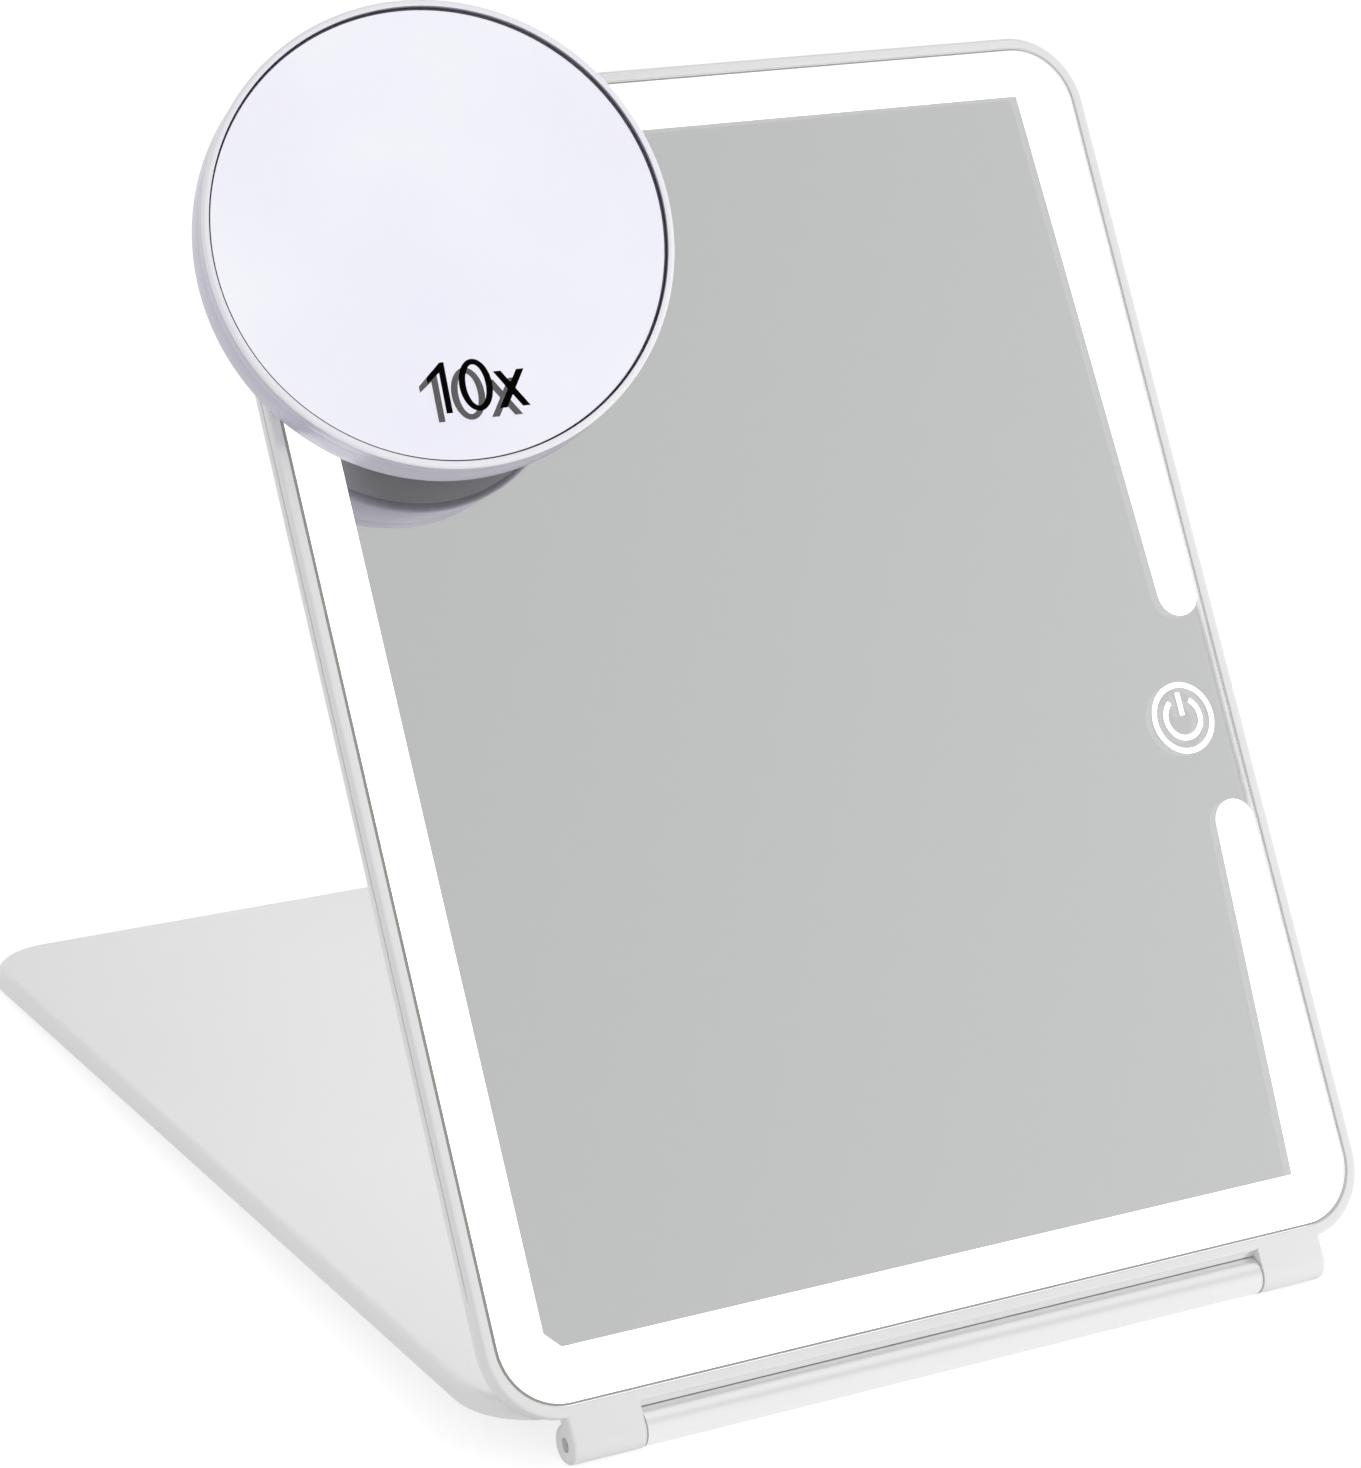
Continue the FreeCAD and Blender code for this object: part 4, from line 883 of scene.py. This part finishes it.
class MIRROR_OT_magnifier(bpy.types.Operator):
    """Builds the magnifier: housing, bezel, dished glass, silvering and printed figures"""

    bl_idname = "mirror.magnifier"
    bl_label = "Magnifier"

    def face_depth(self, size, reach):
        """Depth of the dished glass's front at a distance from its middle."""
        rim = size.radius - size.bezel_width - size.lens_gap
        sag = math.sqrt(size.curve ** 2 - reach ** 2) - math.sqrt(size.curve ** 2 - rim ** 2)
        return size.face - size.lens_drop - sag

    def dish(self, size, radius, front, back):
        """Half section of a dished disc between two depths under the glass's front."""
        reach = [radius * step / DISH_STEPS for step in range(DISH_STEPS + 1)]
        upper = [(r, self.face_depth(size, r) - front) for r in reach]
        lower = [(r, self.face_depth(size, r) - back) for r in reach]
        return upper + lower[::-1]

    def figures(self, size, across, up, front):
        """The figures 10x, laid along the dished glass at a depth under its front."""
        shape = bmesh.new()
        for outline in (FIGURE_ONE, FIGURE_CROSS):
            shape.faces.new([shape.verts.new((*point, 0)) for point in outline])
        middle, outer, inner = FIGURE_RING
        rings = [[shape.verts.new((middle[0] + half[0] * u, middle[1] + half[1] * v, 0))
                  for u, v in arc((0, 0), 1, 0, 360, RING_STEPS)[:-1]] for half in (outer, inner)]
        for step in range(RING_STEPS):
            shape.faces.new((rings[0][step - 1], rings[0][step], rings[1][step], rings[1][step - 1]))
        place = Matrix.Translation((across, up, 0)) @ Matrix.Rotation(size.figure_lean, 4, "Z")
        shape.transform(place @ Matrix.Scale(size.figure_height, 4) @ Matrix.Translation(FIGURE_MIDDLE))
        for axis, centre in ((Vector((1, 0, 0)), across), (Vector((0, 1, 0)), up)):
            for step in range(-FIGURE_CUTS, FIGURE_CUTS + 1):
                bmesh.ops.bisect_plane(shape, geom=[*shape.verts, *shape.edges, *shape.faces],
                                       plane_co=axis * (centre + step * MM), plane_no=axis)
        grown = bmesh.ops.extrude_face_region(shape, geom=shape.faces[:])["geom"]
        behind = {item for item in grown if isinstance(item, bmesh.types.BMVert)}
        for point in shape.verts:
            under = front + (size.ink if point in behind else 0)
            point.co.z = self.face_depth(size, math.hypot(point.co.x, point.co.y)) - under
        return shape

    def execute(self, context):
        size = settings("magnifier")
        place = head_frame()
        rim = size.face - size.bezel_height
        inner = size.radius - size.bezel_width
        wall = size.radius - size.wall
        floor = size.back + size.floor
        dome = size.seat + size.seat_side
        section = arc((0, 0), size.seat, 90, 0, ROUND_STEPS * 2) + soft_corners([
            (size.retainer, 0, 0), (size.retainer, size.back, 0), (size.radius, size.back, size.back_round),
            (size.radius, rim, size.seam_round), (wall, rim, 0), (wall, floor, 0), (dome, floor, 0),
            (dome, size.seat + size.seat_roof, 0), (0, size.seat + size.seat_roof, 0)])
        housing = turned(section)
        # The back takes the pale finish; the rest keeps the darker tone, which is painted shade on the side
        mark(housing, 1, lambda point: point.z < size.back + WELD)
        piece("disc_housing", housing, place, "magnifier_head", [polished_lavender_abs_painted_shade, polished_pearl_abs],
              "lavender_abs", "magnifier_housing")
        section = soft_corners([
            (inner, rim, 0), (size.radius, rim, size.seam_round), (size.radius, size.face, size.bezel_round),
            (inner, size.face, size.seam_round)])
        bezel = turned(section)
        # The face and the top of the rounding take the pale finish; below, the darker tone is painted shade
        # on the side
        mark(bezel, 1, lambda point: point.z > size.face - size.bezel_round - WELD)
        piece("disc_bezel", bezel, place, "magnifier_head", [polished_lavender_abs_painted_shade, polished_pearl_abs],
              "lavender_abs", "magnifier_bezel")
        lens = inner - size.lens_gap
        section = self.dish(size, lens, 0, size.lens)
        clear = lens - size.lens_break
        section[DISH_STEPS:DISH_STEPS + 1] = [
            (clear, self.face_depth(size, clear)), (lens, self.face_depth(size, lens) - size.lens_break)]
        dish = turned(section)
        mark(dish, 1, lambda point: point.xy.length > clear - WELD)
        piece("disc_glass", dish, place, "magnifier_head", [float_glass, edge_lacquer], "clear_glass",
              "magnifier_glass")
        back = size.lens + size.coat_gap
        coat = turned(self.dish(size, lens - size.coat_inset, back, back + size.coat))
        piece("disc_silvering", coat, place, "magnifier_head", [dished_silver_coat], "silver_coat",
              "magnifier_silvering")
        ink = self.figures(size, size.figure_across, size.figure_up, -size.ink - size.ink_gap)
        figures = piece("disc_figures", ink, place, "magnifier_head", [black_screen_ink], "silver_coat")
        # Their real image in the silver is hidden; the grey copy is a painted reflection in its place,
        # further off in the photo than so thin a glass throws it
        figures.visible_glossy = False
        figures.visible_transmission = False
        # The grey copy, a painted reflection of the figures, laid at the silver
        ink = self.figures(size, size.figure_across + size.figure_shift_across,
                           size.figure_up + size.figure_shift_up, size.lens + size.ink_gap)
        piece("disc_figures_painted_reflection", ink, place, "magnifier_head", [painted_figure_reflection], "silver_coat")
        return {"FINISHED"}


class MIRROR_OT_cup(bpy.types.Operator):
    """Builds the suction cup that holds the magnifier on the glass"""

    bl_idname = "mirror.cup"
    bl_label = "Suction cup"

    def execute(self, context):
        size = settings("magnifier")
        lip = size.cup - size.cup_lip
        steps = ROUND_STEPS * 2
        shares = [step / steps for step in range(steps + 1)]
        low = settings("panel").coat_gap
        hollow = [(lip * share, low + (size.cup_hollow - low) * (1 - share ** 2)) for share in shares]
        side = size.cup - size.cup_edge / 2
        rise = size.cup_height - size.cup_edge
        flank = [(side + (size.cup_crown - side) * share, size.cup_edge + rise * share ** CUP_BOW)
                 for share in shares]
        edge = arc((side, low + size.cup_edge / 2), size.cup_edge / 2, -90, 60)
        crown = [(size.cup_neck, size.cup_height), (size.cup_neck, size.cup_socket), (0, size.cup_socket)]
        place = frame_at(BALL - OUT * size.cup_drop)
        piece("suction_cup_moulding", turned(hollow + edge + flank + crown), place, "magnifier_mount",
              [moulded_silicone], "clear_silicone", "suction_cup")
        return {"FINISHED"}


def seen_rays(tree):
    """One for a ray that sees or mirrors the studio, nought for one that gathers light from it."""
    rays = add_node(tree, "LightPath")
    seen = add_node(tree, "Math", {
        0: rays.outputs["Is Camera Ray"], 1: rays.outputs["Is Glossy Ray"]}, operation="MAXIMUM")
    seen = add_node(tree, "Math", {
        0: seen.outputs[0], 1: rays.outputs["Is Transmission Ray"]}, operation="MAXIMUM")
    return seen.outputs[0]


def seamless_paper(tree, colours):
    # White seamless paper: no edge or grain shows, and it takes the mirror's soft shadow
    size = settings("stage")
    paper = add_node(tree, "BsdfDiffuse", {"Color": rgba([size.paper] * 3)})
    shade = add_node(tree, "BsdfDiffuse", {"Color": rgba([size.paper_seen] * 3)})
    white = add_node(tree, "Emission", {"Color": rgba(WHITE), "Strength": size.paper_glow})
    bright = add_node(tree, "AddShader", {0: shade.outputs[0], 1: white.outputs[0]})
    return add_node(tree, "MixShader", {0: seen_rays(tree), 1: paper.outputs[0], 2: bright.outputs[0]})


def grey_card(tree, colours):
    # Grey card held up in front of the mirror: the flat grey that the mirror shows
    size = settings("stage")
    where = add_node(tree, "TexCoord").outputs["Generated"]
    along = add_node(tree, "VectorMath", {0: where, 1: CARD_FALL}, operation="DOT_PRODUCT")
    shade = add_node(tree, "MapRange", {
        "Value": along.outputs["Value"], "From Min": min(CARD_FALL), "From Max": max(CARD_FALL),
        "To Min": size.card_high, "To Max": size.card_low})
    return add_node(tree, "Emission", {"Color": rgba(WHITE), "Strength": shade.outputs["Result"]})


class MIRROR_OT_stage(bpy.types.Operator):
    """Sets the floor, the soft light, the grey card that the mirror shows, and the camera"""

    bl_idname = "mirror.stage"
    bl_label = "Stage"

    def sheet(self, name, half_width, half_height, place, kind):
        """An oblong sheet of the studio, which isn't part of the mirror."""
        shape = bmesh.new()
        sides = ((-1, -1), (1, -1), (1, 1), (-1, 1))
        corners = [shape.verts.new((across * half_width, up * half_height, 0)) for across, up in sides]
        shape.faces.new(corners)
        item = new_object(name, shape)
        item.matrix_world = place
        item.data.materials.append(finish(kind))
        return item

    def sky(self, size):
        """White where it is seen or mirrored, softer where it lights the mirror."""
        world = bpy.data.worlds.new("studio")
        bpy.context.scene.world = world
        world.use_nodes = True
        tree = world.node_tree
        tree.nodes.clear()
        aloft = add_node(tree, "SeparateXYZ", {"Vector": add_node(tree, "TexCoord").outputs["Generated"]})
        soft = add_node(tree, "MapRange", {
            "Value": aloft.outputs["Z"], "To Min": size.sky_low, "To Max": size.sky_high})
        strength = add_node(tree, "MapRange", {
            "Value": seen_rays(tree), "To Min": soft.outputs["Result"], "To Max": 1.0})
        glow = add_node(tree, "Background", {"Color": rgba(WHITE), "Strength": strength.outputs["Result"]})
        add_node(tree, "OutputWorld", {"Surface": glow.outputs[0]})

    def lamp(self, name, power, side, place, aim, spread):
        """A square soft lamp turned to a place on the mirror."""
        light = bpy.data.lights.new(name, "AREA")
        light.size = side
        light.energy = power
        light.spread = spread
        lamp = bpy.data.objects.new(name, light)
        lamp.location = place
        lamp.rotation_euler = (aim - place).to_track_quat("-Z", "Y").to_euler()
        lamp.visible_camera = False
        lamp.visible_glossy = False
        lamp.visible_transmission = False
        bpy.context.scene.collection.objects.link(lamp)

    def execute(self, context):
        scene = context.scene
        size = settings("stage")
        scene.view_settings.view_transform = "Standard"
        self.sky(size)
        self.sheet("floor_paper", size.floor, size.floor, Matrix.Identity(4), seamless_paper)
        glass = frame_at(HINGE)
        card = self.sheet("grey_backdrop", size.card_width, size.card_height,
                          glass @ Matrix.Translation(size.card), grey_card)
        card.visible_camera = False
        card.visible_diffuse = False
        card.visible_shadow = False
        self.lamp("key_lamp", size.key, size.lamp_side, size.key_place, size.key_aim, size.key_spread)
        self.lamp("fill_lamp", size.fill, size.lamp_side, size.fill_place, size.fill_aim, size.fill_spread)
        shot = bpy.data.cameras.new("photo_camera")
        shot.lens = size.lens
        camera = bpy.data.objects.new("photo_camera", shot)
        camera.matrix_world = glass @ Matrix.LocRotScale(size.eye, size.aim, None)
        scene.collection.objects.link(camera)
        scene.camera = camera
        return {"FINISHED"}


GROUPS = {"panel": PanelSizes, "key": KeySizes, "hinge": HingeSizes, "magnifier": MagnifierSizes,
          "colours": Colours, "stage": Stage}
OPERATORS = (MIRROR_OT_solids, MIRROR_OT_frame, MIRROR_OT_glass, MIRROR_OT_magnifier, MIRROR_OT_cup,
             MIRROR_OT_stage)


class MIRROR_PT_sidebar(bpy.types.Panel):
    """Lists the mirror's pieces and its settings"""

    bl_idname = "MIRROR_PT_sidebar"
    bl_label = "Lit folding mirror"
    bl_space_type = "VIEW_3D"
    bl_region_type = "UI"
    bl_category = "Mirror"

    def draw(self, context):
        for operator in OPERATORS:
            self.layout.operator(operator.bl_idname)
        for group, kind in GROUPS.items():
            column = self.layout.box().column()
            for name in kind.__annotations__:
                column.prop(settings(group), name)


def register():
    for group, kind in GROUPS.items():
        bpy.utils.register_class(kind)
        setattr(bpy.types.Scene, "mirror_" + group, bpy.props.PointerProperty(type=kind))
    for kind in (*OPERATORS, MIRROR_PT_sidebar):
        bpy.utils.register_class(kind)


def unregister():
    for kind in (MIRROR_PT_sidebar, *OPERATORS):
        bpy.utils.unregister_class(kind)
    for group, kind in GROUPS.items():
        delattr(bpy.types.Scene, "mirror_" + group)
        bpy.utils.unregister_class(kind)


def main():
    register()
    bpy.ops.mirror.solids()
    bpy.ops.mirror.front_frame()
    bpy.ops.mirror.glass()
    bpy.ops.mirror.magnifier()
    bpy.ops.mirror.cup()
    bpy.ops.mirror.stage()


if __name__ == "__main__":
    main()
